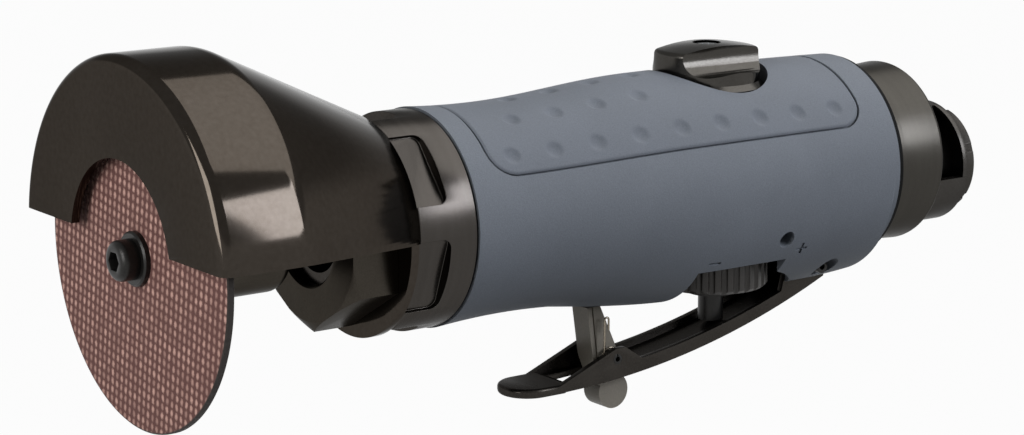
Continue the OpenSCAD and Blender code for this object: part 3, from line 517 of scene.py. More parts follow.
@dataclass(frozen=True)
class WovenAbrasive(Finish):
    """Resin bonded abrasive over glass cloth: pale knots of thread on a dark grit ground."""

    rim: str = "#2b2623"
    pitch: float = 2.0
    lean: float = 7.4
    rim_r: float = 37.7

    def material(self) -> bpy.types.Material:
        """Builds the material.

        Returns:
            A material with one soft pale knot in each cell of a leaning square net.
        """
        material, tree, shader, place = self.start()
        parts = add_node(tree, "ShaderNodeSeparateXYZ", {"Vector": place})
        flat = add_node(
            tree, "ShaderNodeCombineXYZ", {"X": parts.outputs["Y"], "Y": parts.outputs["Z"]}
        )
        centred = add_node(
            tree, "ShaderNodeVectorMath", {0: flat.outputs[0], 1: (0.0, -AXIS_Z, 0.0)}, operation="ADD"
        )
        wander = add_node(
            tree, "ShaderNodeTexNoise", {"Vector": flat.outputs[0], "Scale": 1 / (1.7 * MM), "Detail": 1.0}
        )
        pushed = add_node(
            tree,
            "ShaderNodeVectorMath",
            {0: wander.outputs["Color"], 1: (0.5 * MM,) * 3, 2: centred.outputs[0]},
            operation="MULTIPLY_ADD",
        )
        cells = add_node(
            tree,
            "ShaderNodeMapping",
            {
                "Vector": pushed.outputs[0],
                "Rotation": (0.0, 0.0, math.radians(-self.lean)),
                "Scale": (1 / (self.pitch * MM),) * 3,
            },
        )
        inside = add_node(tree, "ShaderNodeVectorMath", {0: cells.outputs[0]}, operation="FRACTION")
        # A knot is a little taller than wide, as thread lies over thread.
        offset = add_node(
            tree,
            "ShaderNodeVectorMath",
            {0: inside.outputs[0], 1: (3.3, 2.35, 0.0), 2: (-1.65, -1.175, 0.0)},
            operation="MULTIPLY_ADD",
        )
        reach = add_node(tree, "ShaderNodeVectorMath", {0: offset.outputs[0]}, operation="LENGTH")
        grit = add_node(
            tree, "ShaderNodeTexNoise", {"Vector": place, "Scale": 1 / (self.grain * MM), "Detail": 3.0}
        )
        ragged = add_node(
            tree,
            "ShaderNodeMath",
            {0: grit.outputs["Fac"], 1: 0.9, 2: reach.outputs["Value"]},
            operation="MULTIPLY_ADD",
        )
        knot = add_node(
            tree,
            "ShaderNodeMapRange",
            {"Value": ragged.outputs[0], "From Min": 1.75, "From Max": 0.8},
            interpolation_type="SMOOTHSTEP",
        )
        # Threads lie at different depths, so some knots are paler than others.
        corner = add_node(tree, "ShaderNodeVectorMath", {0: cells.outputs[0]}, operation="FLOOR")
        chance = add_node(tree, "ShaderNodeTexWhiteNoise", {"Vector": corner.outputs[0]})
        depth = add_node(
            tree, "ShaderNodeMapRange", {"Value": chance.outputs["Value"], "To Min": 0.45, "To Max": 1.0}
        )
        shown = add_node(
            tree, "ShaderNodeMath", {0: knot.outputs[0], 1: depth.outputs[0]}, operation="MULTIPLY"
        )
        weave = add_node(
            tree,
            "ShaderNodeMix",
            {0: shown.outputs[0], 6: linear(self.dark), 7: linear(self.light)},
            data_type="RGBA",
        )
        radius = add_node(tree, "ShaderNodeVectorMath", {0: centred.outputs[0]}, operation="LENGTH")
        edge = add_node(
            tree,
            "ShaderNodeMapRange",
            {
                "Value": radius.outputs["Value"],
                "From Min": (self.rim_r - 0.15) * MM,
                "From Max": (self.rim_r + 0.15) * MM,
            },
        )
        colour = add_node(
            tree,
            "ShaderNodeMix",
            {0: edge.outputs[0], 6: weave.outputs[2], 7: linear(self.rim)},
            data_type="RGBA",
        )
        tree.links.new(colour.outputs[2], shader.inputs["Base Color"])
        shader.inputs["Roughness"].default_value = self.rough[1]
        height = add_node(
            tree,
            "ShaderNodeMath",
            {0: grit.outputs["Fac"], 1: 0.6, 2: knot.outputs[0]},
            operation="MULTIPLY_ADD",
        )
        bump = add_node(
            tree,
            "ShaderNodeBump",
            {"Height": height.outputs[0], "Strength": self.relief, "Distance": 0.3 * MM},
        )
        tree.links.new(bump.outputs[0], shader.inputs["Normal"])
        return material


# Coarse woven disc: maroon resin with pale pink thread knots.
ABRASIVE = WovenAbrasive("woven_resin_abrasive", "#5c3a35", "#cfa598", (0.8, 0.85), grain=0.35, relief=0.5)
# Dark chemical finish on steel: black with a soft metal sheen.
BLACK_OXIDE = Finish("black_oxide_steel", "#171615", "#242321", (0.3, 0.45), metallic=0.6, relief=0.02)
# Glossy brown black enamel on pressed steel: deep colour under clear reflections.
GUARD_ENAMEL = Finish(
    "glossy_dark_enamel", "#36312c", "#3d3833", (0.08, 0.12), drift=30, grain=1.2, relief=0.004, metallic=1.0, edge=0.5
)
# Bronzed gunmetal turned on a lathe: fine rings and a broad warm highlight.
GUNMETAL = Finish(
    "bronzed_gunmetal",
    "#383532",
    "#43403d",
    (0.2, 0.28),
    drift=10,
    grain=0.25,
    relief=0.02,
    metallic=1.0,
    edge=0.5,
    stretch=(6.0, 0.4, 0.4),
)
# Bronzed steel nut, a shade duller than the ring behind it.
NUT_STEEL = Finish(
    "bronzed_steel", "#34302b", "#3e3a34", (0.26, 0.36), drift=8, grain=0.4, relief=0.03, metallic=1.0, edge=0.5
)
# Soft touch rubber moulded over the housing: matt blue grey with a fine dusty speckle.
GRIP_RUBBER = Finish(
    "soft_touch_rubber",
    "#686d74",
    "#777c83",
    (0.6, 0.72),
    drift=18,
    grain=0.32,
    relief=0.12,
    shine=0.2,
)
# The same rubber on the thumb pad, a shade lighter where it is handled.
PAD_RUBBER = Finish(
    "thumb_pad_rubber",
    "#656a71",
    "#737880",
    (0.56, 0.68),
    drift=18,
    grain=0.32,
    relief=0.1,
    shine=0.2,
)
# Hard anodised aluminium casting: dark grey with a grainy skin.
CAST_ALUMINIUM = Finish(
    "hard_anodised_aluminium", "#1f2022", "#2b2c2e", (0.45, 0.6), grain=0.6, relief=0.1, shine=0.2
)
# Ground bearing steel: bright with hardly any texture.
BEARING_STEEL = Finish("ground_bearing_steel", "#a9abae", "#c3c5c8", (0.12, 0.2), relief=0.01, metallic=1.0)
# Turned steel: grey with tool marks across the axis.
TURNED_STEEL = Finish(
    "turned_steel", "#6f7173", "#8d8f91", (0.24, 0.36), grain=0.2, relief=0.03, metallic=1.0, stretch=(5.0, 1.0, 1.0)
)
# Phenolic cloth laminate: brown with a faint fleck.
VANE_LAMINATE = Finish("phenolic_laminate", "#4a3524", "#6a4c33", (0.5, 0.65), grain=0.8, relief=0.05)
# Free cutting brass: yellow with fine turning marks.
BRASS = Finish("turned_brass", "#94793f", "#b2975a", (0.22, 0.34), grain=0.3, relief=0.02, metallic=1.0)
# Nitrile rubber: black with a dull shine.
NITRILE = Finish("nitrile_rubber", "#0e0e0e", "#161616", (0.5, 0.65), grain=0.4, relief=0.04, shine=0.05)
# Bronzed zinc casting, tumbled: warm grey brown with soft bright edges.
KNOB_ZINC = Finish(
    "tumbled_bronzed_zinc", "#3a3835", "#464441", (0.16, 0.24), drift=6, grain=0.35, relief=0.03, metallic=1.0, edge=0.6
)
# Glass filled nylon: dark brown grey with a moulded bloom.
REGULATOR_NYLON = Finish("glass_filled_nylon", "#211e1b", "#2e2a26", (0.38, 0.5), grain=0.5, relief=0.06, shine=0.4)
# Satin enamel on a bent sheet: near black brown with worn lighter streaks.
LEVER_ENAMEL = Finish(
    "satin_dark_enamel", "#2b2825", "#383531", (0.22, 0.34), drift=7, grain=0.5, relief=0.03, metallic=0.8, edge=0.4
)
# Moulded acetal: grey brown, dull and smooth.
LOCK_ACETAL = Finish("moulded_acetal", "#777268", "#857f74", (0.42, 0.55), drift=6, grain=0.5, relief=0.04, shine=0.3)
# Spring wire: bright drawn steel.
SPRING_WIRE = Finish(
    "drawn_spring_wire", "#6e675c", "#8f8678", (0.22, 0.32), drift=3, grain=0.3, relief=0.02, metallic=1.0
)
# Olive brown anodised end cap: satin with fine turning rings.
CAP_METAL = Finish(
    "satin_olive_cap",
    "#373532",
    "#42403c",
    (0.28, 0.36),
    drift=12,
    grain=0.22,
    relief=0.04,
    metallic=1.0,
    edge=0.5,
    stretch=(6.0, 0.5, 0.5),
)
# Dark moulded deflector: brown black with a satin skin.
DEFLECTOR_SATIN = Finish(
    "dark_satin_deflector", "#393734", "#444240", (0.3, 0.4), drift=7, grain=0.4, relief=0.04, metallic=1.0, edge=0.5
)
# Pressed wool felt: pale brown and fluffy.
FELT = Finish("pressed_wool_felt", "#7d776c", "#9a9488", (0.9, 1.0), grain=0.3, relief=0.6, sheen=0.3)


@lru_cache(maxsize=None)
def surface(finish: Finish) -> bpy.types.Material:
    """Material of a finish, made once."""
    return finish.material()


def fit(
    piece: bpy.types.Object, body: str, slot: str, finish: Finish, *nodes: str, angle: float = 35.0
) -> bpy.types.Object:
    """Dresses a piece, hides the CAD nodes that it stands for and parents it to its body's empty.

    Args:
        piece: finished mesh.
        body: body that it moves with.
        slot: material slot of the record; not used.
        finish: surface that it shows.
        nodes: nodes that it stands for.
        angle: edge angle up to which it is shaded smooth, in degrees.

    Returns:
        The dressed piece.
    """
    Bench.smooth(piece, angle)
    piece.data.materials.clear()
    piece.data.materials.append(surface(finish))
    if nodes:
        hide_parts(*nodes)
    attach(piece, body)
    LOG.info("%s on %s, %s faces", piece.name, body, len(piece.data.polygons))
    return piece


@dataclass
class WheelSet:
    """Cutting wheel with the screw, washer and hub that drive it."""

    wheel_r: float = 38.1
    wheel_t: float = 1.6
    bore_r: float = 4.77
    washer_r: float = 6.0
    washer_t: float = 1.5
    head_r: float = 4.5
    head_h: float = 4.2
    head_round: float = 1.6
    screw_r: float = 3.0
    screw_end: float = 20.0
    key: float = 4.0
    hub_r: float = 11.4
    hub_len: float = 31.4
    hub_round: float = 3.0
    spindle_r: float = 6.02

    def wheel(self) -> bpy.types.Object:
        """Makes the thin disc with eased rims."""
        t, r = self.wheel_t, self.wheel_r
        profile = [(-t, self.bore_r), (-t, r - 0.25), (-t + 0.25, r), (-0.25, r), (0, r - 0.25)]
        return Bench.lathe("abrasive_disc", profile + [(0, self.bore_r)], steps=192)

    def washer(self) -> bpy.types.Object:
        """Makes the outer washer with a chamfered rim."""
        front, back, r = -self.wheel_t - self.washer_t, -self.wheel_t, self.washer_r
        profile = [(front, self.screw_r + 0.02), (front, r - 0.4), (front + 0.4, r), (back, r)]
        return Bench.lathe("clamp_washer", profile + [(back, self.screw_r + 0.02)], steps=96)

    def screw(self) -> bpy.types.Object:
        """Makes the socket screw with its rounded head."""
        seat = -self.wheel_t - self.washer_t
        front = seat - self.head_h
        turn = arc(front + self.head_round, self.head_r - self.head_round, self.head_round, 90, 180, 8)
        profile = [(self.screw_end, 0.0), (self.screw_end, self.screw_r - 0.5)]
        profile += [(self.screw_end - 0.5, self.screw_r), (seat, self.screw_r), (seat, self.head_r)]
        obj = Bench.lathe("socket_screw", profile + turn + [(front, 0.0)], steps=96)
        corner = self.key / math.sqrt(3)
        hexagon = [
            (corner * math.cos(math.radians(60 * i)), corner * math.sin(math.radians(60 * i)))
            for i in range(6)
        ]
        socket = Bench.prism("socket", hexagon, Along.X, front - 1, front + 2.6)
        return Bench.ease(Bench.carve(obj, socket), 0.15)

    def hub(self) -> bpy.types.Object:
        """Makes the drive hub with its rounded rear edge."""
        turn = arc(self.hub_len - self.hub_round, self.hub_r - self.hub_round, self.hub_round, 90, 0, 10)
        profile = [(0, self.spindle_r), (0, self.hub_r - 0.5), (0.5, self.hub_r)]
        return Bench.lathe("drive_hub_turned", profile + turn + [(self.hub_len, self.spindle_r)], steps=128)

    def build(self) -> None:
        """Builds and dresses the pieces that spin."""
        fit(self.wheel(), "spindle", "wheel_abrasive", ABRASIVE, "cutting_wheel")
        fit(self.washer(), "spindle", "black_oxide", BLACK_OXIDE, "outer_washer")
        fit(self.screw(), "spindle", "black_oxide", BLACK_OXIDE, "arbor_screw")
        fit(self.hub(), "spindle", "black_oxide", NUT_STEEL, "drive_hub")


@dataclass
class Guard:
    """Spun steel guard: flat front, rounded rim, straight skirt, cone and rear plate."""

    front_x: float = -5.9
    r: float = 44.1
    wall: float = 2.0
    rim_round: float = 2.6
    mouth_r: float = 22.0
    skirt_end: float = 14.6
    crease_r: float = 8.0
    rear_x: float = 54.05
    rear_r: float = 25.0
    spigot_r: float = 16.05
    edge_z: float = 4.4
    rear_edge_z: float = 0.5

    def line(self, inward: float) -> list[Point2]:
        """Outline of the wall's outer face moved inwards.

        Args:
            inward: distance from the outer face.

        Returns:
            Points (x, radius) from the front to the rear.
        """
        slope = math.atan((self.r - self.rear_r) / (self.rear_x - 0.95 - self.skirt_end))
        reach = self.crease_r * math.tan(slope / 2)
        rim = self.r - self.rim_round
        points = arc(self.front_x + self.rim_round, rim, self.rim_round - inward, 180, 90, 10)
        points += arc(
            self.skirt_end - reach, self.r - self.crease_r, self.crease_r - inward, 90, 90 - math.degrees(slope), 10
        )
        x = self.rear_x - inward
        fall = (1 + self.rear_x - x) * math.tan(slope) - inward / math.cos(slope)
        return points + [(x, self.rear_r + fall)]

    def build(self) -> None:
        """Builds and dresses the guard."""
        outer = [(self.front_x, self.mouth_r)] + self.line(0)
        inner = self.line(self.wall)[::-1] + [(self.front_x + self.wall, self.mouth_r)]
        shell = Bench.lathe("spun_guard", outer + inner, steps=256)
        lower = [
            (self.front_x - 1, self.edge_z),
            (self.skirt_end, self.edge_z),
            (self.rear_x - self.wall, self.rear_edge_z),
            (90, self.rear_edge_z),
            (90, -90),
            (self.front_x - 1, -90),
        ]
        Bench.carve(shell, Bench.prism("open_side", lower, Along.Y, -90, 90))
        back = self.rear_x - self.wall
        ring = [(back, self.spigot_r), (back, self.rear_r), (self.rear_x, self.rear_r)]
        plate = Bench.lathe("rear_plate", ring + [(self.rear_x, self.spigot_r)], steps=256)
        Bench.carve(shell, plate, how=Cut.JOIN)
        Bench.ease(shell, 0.45, 3, 30)
        fit(shell, "guard", "guard_paint", GUARD_ENAMEL, "wheel_guard", angle=40)


@dataclass
class Nose:
    """Clamp nut and the nose ring with its spanner pockets."""

    nut_front: float = 40.4
    nut_len: float = 11.6
    nut_flats: float = 39.3
    mouth_r: float = 11.7
    lip: float = 2.3
    spigot_r: float = 16.0
    spigot_x: float = 43.0
    ring_x: float = 54.1
    ring_r: float = 25.0
    ring_len: float = 15.9
    pocket_r: float = 22.4
    pocket_w: float = 17.8
    pocket_len: float = 8.4
    skirt_r: float = 18.98
    bore_r: float = 14.02
    neck_r: float = 9.0

    def nut(self) -> bpy.types.Object:
        """Makes the hexagon nut with turned corners."""
        corner = self.nut_flats / math.sqrt(3)
        end = self.nut_front + self.nut_len
        hexagon = [
            (corner * math.sin(math.radians(60 * i)), corner * math.cos(math.radians(60 * i)))
            for i in range(6)
        ]
        obj = Bench.prism("hexagon_nut", hexagon, Along.X, self.nut_front, end)
        slope = (corner - self.nut_flats / 2) * 0.7
        cone = [(self.nut_front - 0.1, 0), (self.nut_front - 0.1, self.nut_flats / 2 + 0.1)]
        cone += [(self.nut_front + slope, corner + 0.2), (end + 0.1, corner + 0.2), (end + 0.1, 0)]
        Bench.carve(obj, Bench.lathe("corner_cone", cone, steps=160), how=Cut.KEEP)
        bore = [(self.nut_front - 1, 0), (self.nut_front - 1, self.mouth_r + 1.6)]
        bore += [(self.nut_front + 0.6, self.mouth_r), (self.nut_front + self.lip, self.mouth_r)]
        bore += [(self.nut_front + self.lip, self.spigot_r + 0.02), (end + 1, self.spigot_r + 0.02)]
        Bench.carve(obj, Bench.lathe("nut_bore", bore + [(end + 1, 0)], steps=160))
        return Bench.ease(obj, 0.35, 2, 25)

    def ring(self) -> bpy.types.Object:
        """Makes the nose ring with six pockets."""
        end = self.ring_x + self.ring_len
        profile = [
            (self.spigot_x, self.neck_r),
            (self.spigot_x, self.spigot_r - 0.5),
            (self.spigot_x + 0.5, self.spigot_r),
            (self.ring_x, self.spigot_r),
            (self.ring_x, self.ring_r - 0.5),
            (self.ring_x + 0.5, self.ring_r),
            (end - 0.6, self.ring_r),
            (end, self.ring_r - 0.6),
            (end, self.skirt_r),
            (end + 8, self.skirt_r),
            (end + 8, self.bore_r),
            (60.1, self.bore_r),
            (60.1, self.neck_r),
        ]
        obj = Bench.lathe("nose_ring_turned", profile, steps=192)
        x0, x1 = self.ring_x - 3, self.ring_x + self.pocket_len
        half = self.pocket_w / 2
        outline = [(x0, -half), (x1 - 2, -half)] + arc(x1 - 2, 2 - half, 2, -90, 0, 6)
        outline += arc(x1 - 2, half - 2, 2, 0, 90, 6) + [(x0, half)]
        pockets = [
            Bench.turned(Bench.prism("pocket", outline, Along.Z, self.pocket_r, 40), 50 + 60 * i)
            for i in range(6)
        ]
        Bench.carve(obj, Bench.joined("pockets", pockets))
        return Bench.ease(obj, 0.35, 3, 25)

    def build(self) -> None:
        """Builds and dresses the nut and the ring."""
        fit(self.nut(), "tool_body", "nut_metal", NUT_STEEL, "clamp_nut")
        fit(self.ring(), "tool_body", "nose_metal", GUNMETAL, "nose_ring")


@dataclass
class Body:
    """Rubber sleeve with its belly and recesses, and the dimpled thumb pad let into its top."""

    x: float = 70.0
    length: float = 124.4
    front_r: float = 25.3
    waist_r: float = 24.5
    waist_at: float = 18.4
    swell_r: float = 26.9
    swell_at: float = 64.0
    rear_r: float = 25.9
    belly_drop: float = 2.5
    belly_r: float = 26.4
    belly_at: float = 31.4
    belly_run: float = 44.0
    belly_thin: float = 0.7
    belly_short: float = 1.7
    belly_ramp: float = 1.5
    core_r: float = 22.02
    floor: float = 16.72
    pad_at: float = 6.8
    pad_len: float = 108.6
    pad_angle: float = 61.0
    pad_t: float = 1.2
    pad_corner: float = 7.0
    groove: float = 0.5
    dimple_r: float = 2.3
    dimple_deep: float = 0.8
    knob_x: float = 154.2
    knob_z: float = 21.7
    knob_way: float = 14.8
    throttle_x: float = 156.6
    pivot: Point2 = (179.7, -23.5)

    def barrel(self, u: float) -> float:
        """Radius of the barrel at a distance from its front edge."""
        if u < self.waist_at:
            return self.waist_r + (self.front_r - self.waist_r) * (1 - u / self.waist_at) ** 2
        if u < self.swell_at:
            turn = math.cos(math.pi * (u - self.waist_at) / (self.swell_at - self.waist_at))
            return (self.waist_r + self.swell_r) / 2 - (self.swell_r - self.waist_r) / 2 * turn
        share = (u - self.swell_at) / (self.length - self.swell_at)
        return self.swell_r - (self.swell_r - self.rear_r) * share**2

    def skin(self, u: float, angle: float) -> float:
        """Radius of the sleeve where the belly flows into the barrel.

        Args:
            u: distance from the front edge.
            angle: angle from the top in radians.

        Returns:
            Distance from the tool's axis.
        """
        r = self.barrel(u)
        if u <= self.belly_at:
            return r
        start = self.barrel(self.belly_at) - self.belly_drop - 0.1
        share = min(1.0, (u - self.belly_at) / self.belly_run)
        belly = start + (self.belly_r - start) * math.sin(math.pi / 2 * share)
        left = self.length - self.belly_short - u
        belly -= self.belly_thin * min(1.0, max(0.0, 1 - left / 16)) ** 2
        belly -= 3.4 * min(1.0, max(0.0, -left / self.belly_ramp))
        across = belly**2 - (self.belly_drop * math.sin(angle)) ** 2
        ray = -self.belly_drop * math.cos(angle) + math.sqrt(across)
        gap = max(0.5 - abs(r - ray), 0.0) / 0.5
        return max(r, ray) + gap**2 * 0.5 / 4 * min(1.0, share * 4)

    def wrapped(self, name: str, grow: float, top: float, depth: float, fine: bool) -> bpy.types.Object:
        """Plate with round corners bent over the barrel.

        Args:
            name: name of the object.
            grow: distance that the pad's outline is grown by.
            top: height of its face above the barrel.
            depth: thickness.
            fine: whether the dimples and the soft edge are pressed in.

        Returns:
            The closed plate.
        """
        length = self.pad_len + 2 * grow
        half = math.radians(self.pad_angle) * self.swell_r + grow
        corner = self.pad_corner + grow
        columns, rows = (260, 120) if fine else (120, 60)
        Bench.clear()
        bpy.ops.mesh.primitive_grid_add(x_subdivisions=columns, y_subdivisions=rows, size=2)
        obj = Bench.named(name)
        mesh = obj.data
        flat = np.empty(len(mesh.vertices) * 3)
        mesh.vertices.foreach_get("co", flat)
        flat = flat.reshape(-1, 3)
        # Columns and rows crowd towards the border, where the outline turns.
        s = np.sign(flat[:, 0]) * (1 - (1 - np.abs(flat[:, 0])) ** 1.25)
        t = np.sign(flat[:, 1]) * (1 - (1 - np.abs(flat[:, 1])) ** 1.25)
        along = s * length / 2
        past = np.clip(np.abs(along) - (length / 2 - corner), 0, corner)
        reach = half - corner + np.sqrt(np.maximum(corner**2 - past**2, 0))
        across = t * reach
        drop = np.zeros(len(s))
        if fine:
            near_x = np.maximum(np.abs(along) - (length / 2 - corner), 0)
            near_y = np.maximum(np.abs(across) - (half - corner), 0)
            border = corner - np.hypot(near_x, near_y)
            drop += 0.35 * np.clip(1 - border / 0.8, 0, 1) ** 2
            for x, angle in self.dimples():
                away = np.hypot(along - (x - self.pad_at - self.pad_len / 2), across - angle * self.swell_r)
                share = np.clip(away / self.dimple_r, 0, 1)
                drop += self.dimple_deep * (1 - share**2)
        u = along + self.pad_at + self.pad_len / 2
        angle = across / self.swell_r
        outer = np.array([self.barrel(v) for v in u]) + top - drop
        place = np.stack([self.x + u, -outer * np.sin(angle), outer * np.cos(angle)], axis=1) * MM
        place += np.array([SEAT_X, 0, AXIS_Z])
        mesh.vertices.foreach_set("co", place.ravel())
        mesh.update()
        Bench.pick(obj)
        bpy.ops.object.mode_set(mode="EDIT")
        bpy.ops.mesh.select_all(action="SELECT")
        bpy.ops.mesh.normals_make_consistent(inside=False)
        bpy.ops.object.mode_set(mode="OBJECT")
        if sum(p.normal.z for p in mesh.polygons) < 0:
            mesh.flip_normals()
        change = obj.modifiers.new("thickness", "SOLIDIFY")
        change.thickness = depth * MM
        change.offset = -1.0
        bpy.ops.object.modifier_apply(modifier=change.name)
        return Bench.tidy(obj)

    def dimples(self) -> list[Point2]:
        """Places of the dimples as distance from the front edge and angle in radians."""
        first = self.pad_at + 6.4
        places = [(first + 11.8 * i, math.radians(s * 50)) for s in (-1, 1) for i in range(9)]
        places += [(first + 5.7 + 11.9 * i, math.radians(s * 25)) for s in (-1, 1) for i in range(4)]
        return places + [(first + 11.9 * i, 0.0) for i in range(1, 5)]

    def sleeve(self) -> bpy.types.Object:
        """Makes the sleeve from a turned barrel that is pulled down to its belly and carved."""
        end = self.x + self.length
        # Rings crowd where the belly ends.
        steps = [1.1 * i for i in range(108)] + [118.8 + 0.2 * i for i in range(28)] + [self.length]
        line = [(self.x + u, self.barrel(u)) for u in steps]
        obj = Bench.lathe("grip_sleeve_moulded", [(self.x, 0.0)] + line + [(end, 0.0)], steps=192)
        for vertex in obj.data.vertices:
            x = (vertex.co.x - SEAT_X) / MM - self.x
            y, z = vertex.co.y, vertex.co.z - AXIS_Z
            r = math.hypot(y, z)
            if r > 0.001:
                scale = self.skin(x, math.atan2(-y, z)) * MM / r
                vertex.co.y, vertex.co.z = y * scale, AXIS_Z + z * scale
        core = Bench.rod("core", Along.X, ((self.x + end) / 2, 0, 0), self.core_r, self.length + 4, 128)
        below = [(-50, -60), (50, -60), (50, -self.floor), (-50, -self.floor)]
        Bench.carve(core, Bench.prism("below", below, Along.X, 134.4, end + 9))
        Bench.carve(obj, core)
        Bench.carve(obj, self.wrapped("pocket", self.groove, 2.0, 2.0 + self.pad_t + 0.04, False))
        Bench.carve(obj, Bench.rod("knob_seat", Along.Z, (self.knob_x, 0, self.knob_z + 20), self.knob_way, 40, 96))
        self.carve_below(obj)
        self.carve_signs(obj)
        return obj

    def carve_below(self, obj: bpy.types.Object) -> None:
        """Cuts the regulator's recess, the lever's slot, pin holes, lock pocket and cross holes."""
        box = [(135.4, -60), (162.2, -60), (162.2, -18), (135.4, -18)]
        Bench.carve(obj, Bench.prism("recess", box, Along.Y, -60, 60))
        Bench.carve(obj, Bench.rod("round", Along.Z, (self.throttle_x, 0, -40), 19.0, 48.6, 96))
        slot = [(self.throttle_x, -60), (189.4, -60), (189.4, -self.floor), (self.throttle_x, -self.floor)]
        Bench.carve(obj, Bench.prism("slot", slot, Along.Y, -7.3, 7.3))
        x, z = self.pivot
        Bench.carve(obj, Bench.rod("pin_way", Along.Y, (x, 0, z), 1.62, 80))
        for side in (-1, 1):
            Bench.carve(obj, Bench.rod("counterbore", Along.Y, (x, side * 32.6, z), 2.9, 40))
            hole = Bench.rod("cross_hole", Along.Z, (self.throttle_x + 3.2, 0, 30), 2.2, 24, 48)
            Bench.carve(obj, Bench.turned(hole, side * 117))
        pocket = [(116.1, -45), (116.1, -27.0), (121.5, -25.6), (128, -25.2), (135, -27), (139.3, -31), (139.3, -45)]
        Bench.carve(obj, Bench.prism("lock_pocket", pocket, Along.Y, -4.9, 4.9))

    def carve_signs(self, obj: bpy.types.Object) -> None:
        """Cuts the plus and minus signs beside the regulator."""
        for u, angle, upright in ((95.7, 124.2, True), (69.2, 125.2, False)):
            r = self.skin(u, math.radians(angle))
            x = self.x + u
            bars = [[(x - 1.7, -0.4), (x + 1.7, -0.4), (x + 1.7, 0.4), (x - 1.7, 0.4)]]
            if upright:
                bars.append([(x - 0.4, -1.7), (x + 0.4, -1.7), (x + 0.4, 1.7), (x - 0.4, 1.7)])
            for bar in bars:
                cut = Bench.prism("sign", bar, Along.Z, r - 0.5, r + 4)
                Bench.carve(obj, Bench.turned(cut, angle))

    def pad(self) -> bpy.types.Object:
        """Makes the thumb pad with its dimples and the hole for the knob."""
        obj = self.wrapped("thumb_pad_moulded", 0.0, 0.0, self.pad_t, True)
        return Bench.carve(obj, Bench.rod("knob_way", Along.Z, (self.knob_x, 0, 30), self.knob_way, 40, 96))

    def build(self) -> None:
        """Builds and dresses the sleeve and the pad."""
        fit(self.sleeve(), "tool_body", "grip_rubber", GRIP_RUBBER, "grip_sleeve", angle=30)
        fit(self.pad(), "tool_body", "pad_rubber", PAD_RUBBER, "thumb_pad", angle=40)


@dataclass
class ReverseControl:
    """Reverse knob with its finger bar and screw."""

    x: float = 154.2
    base_z: float = 22.0
    top_z: float = 32.7
    r: float = 12.9
    flare: float = 1.4
    flare_h: float = 1.8
    base_h: float = 3.8
    bar_w: float = 11.0
    scoop_r: float = 4.6
    crown: float = 1.3
    screw_r: float = 2.0
    recess_r: float = 3.4

    def knob(self) -> bpy.types.Object:
        """Makes the round knob with its flared foot and domed top and scoops it out to a bar."""
        foot = self.r + self.flare
        profile = [(0.0, self.base_z), (foot - 0.2, self.base_z), (foot, self.base_z + 0.2)]
        profile += [(foot, self.base_z + 0.5), (self.r, self.base_z + self.flare_h)]
        profile += arc(self.r - 1.2, self.top_z - self.crown - 1.2, 1.2, 0, 80, 8)
        for i in range(11, -1, -1):
            profile.append(((self.r - 1.2) * i / 12, self.top_z - self.crown * (i / 12) ** 2))
        obj = Bench.upright_lathe("reverse_knob_cast", profile, self.x, 160)
        for side in (-1, 1):
            y = side * (self.bar_w / 2 + self.scoop_r)
            z = self.base_z + self.base_h + self.scoop_r
            Bench.carve(obj, Bench.rod("scoop", Along.X, (self.x, y, z), self.scoop_r, 60, 96))
        Bench.carve(obj, Bench.rod("screw_way", Along.Z, (self.x, 0, 24), self.screw_r + 0.02, 60))
        Bench.carve(obj, Bench.rod("head_way", Along.Z, (self.x, 0, self.top_z + 7.4), self.recess_r, 20))
        return Bench.ease(obj, 0.45, 3, 30)

    def screw(self) -> bpy.types.Object:
        """Makes the flat screw with its hexagon socket."""
        top, r = self.top_z - 0.6, self.recess_r - 0.2
        profile = [(0, 15.7), (self.screw_r, 15.7), (self.screw_r, top - 2.0), (r, top - 2.0)]
        profile += [(r, top - 0.3), (r - 0.3, top), (0, top)]
        obj = Bench.upright_lathe("knob_screw_turned", profile, self.x, 64)
        socket = Bench.rod("socket", Along.Z, (self.x, 0, top), 1.45, 2.4, 6)
        return Bench.ease(Bench.carve(obj, socket), 0.1)

    def build(self) -> None:
        """Builds and dresses the knob and its screw."""
        fit(self.knob(), "reverse_control", "knob_metal", KNOB_ZINC, "reverse_knob")
        fit(self.screw(), "reverse_control", "machined_steel", TURNED_STEEL, "knob_screw")


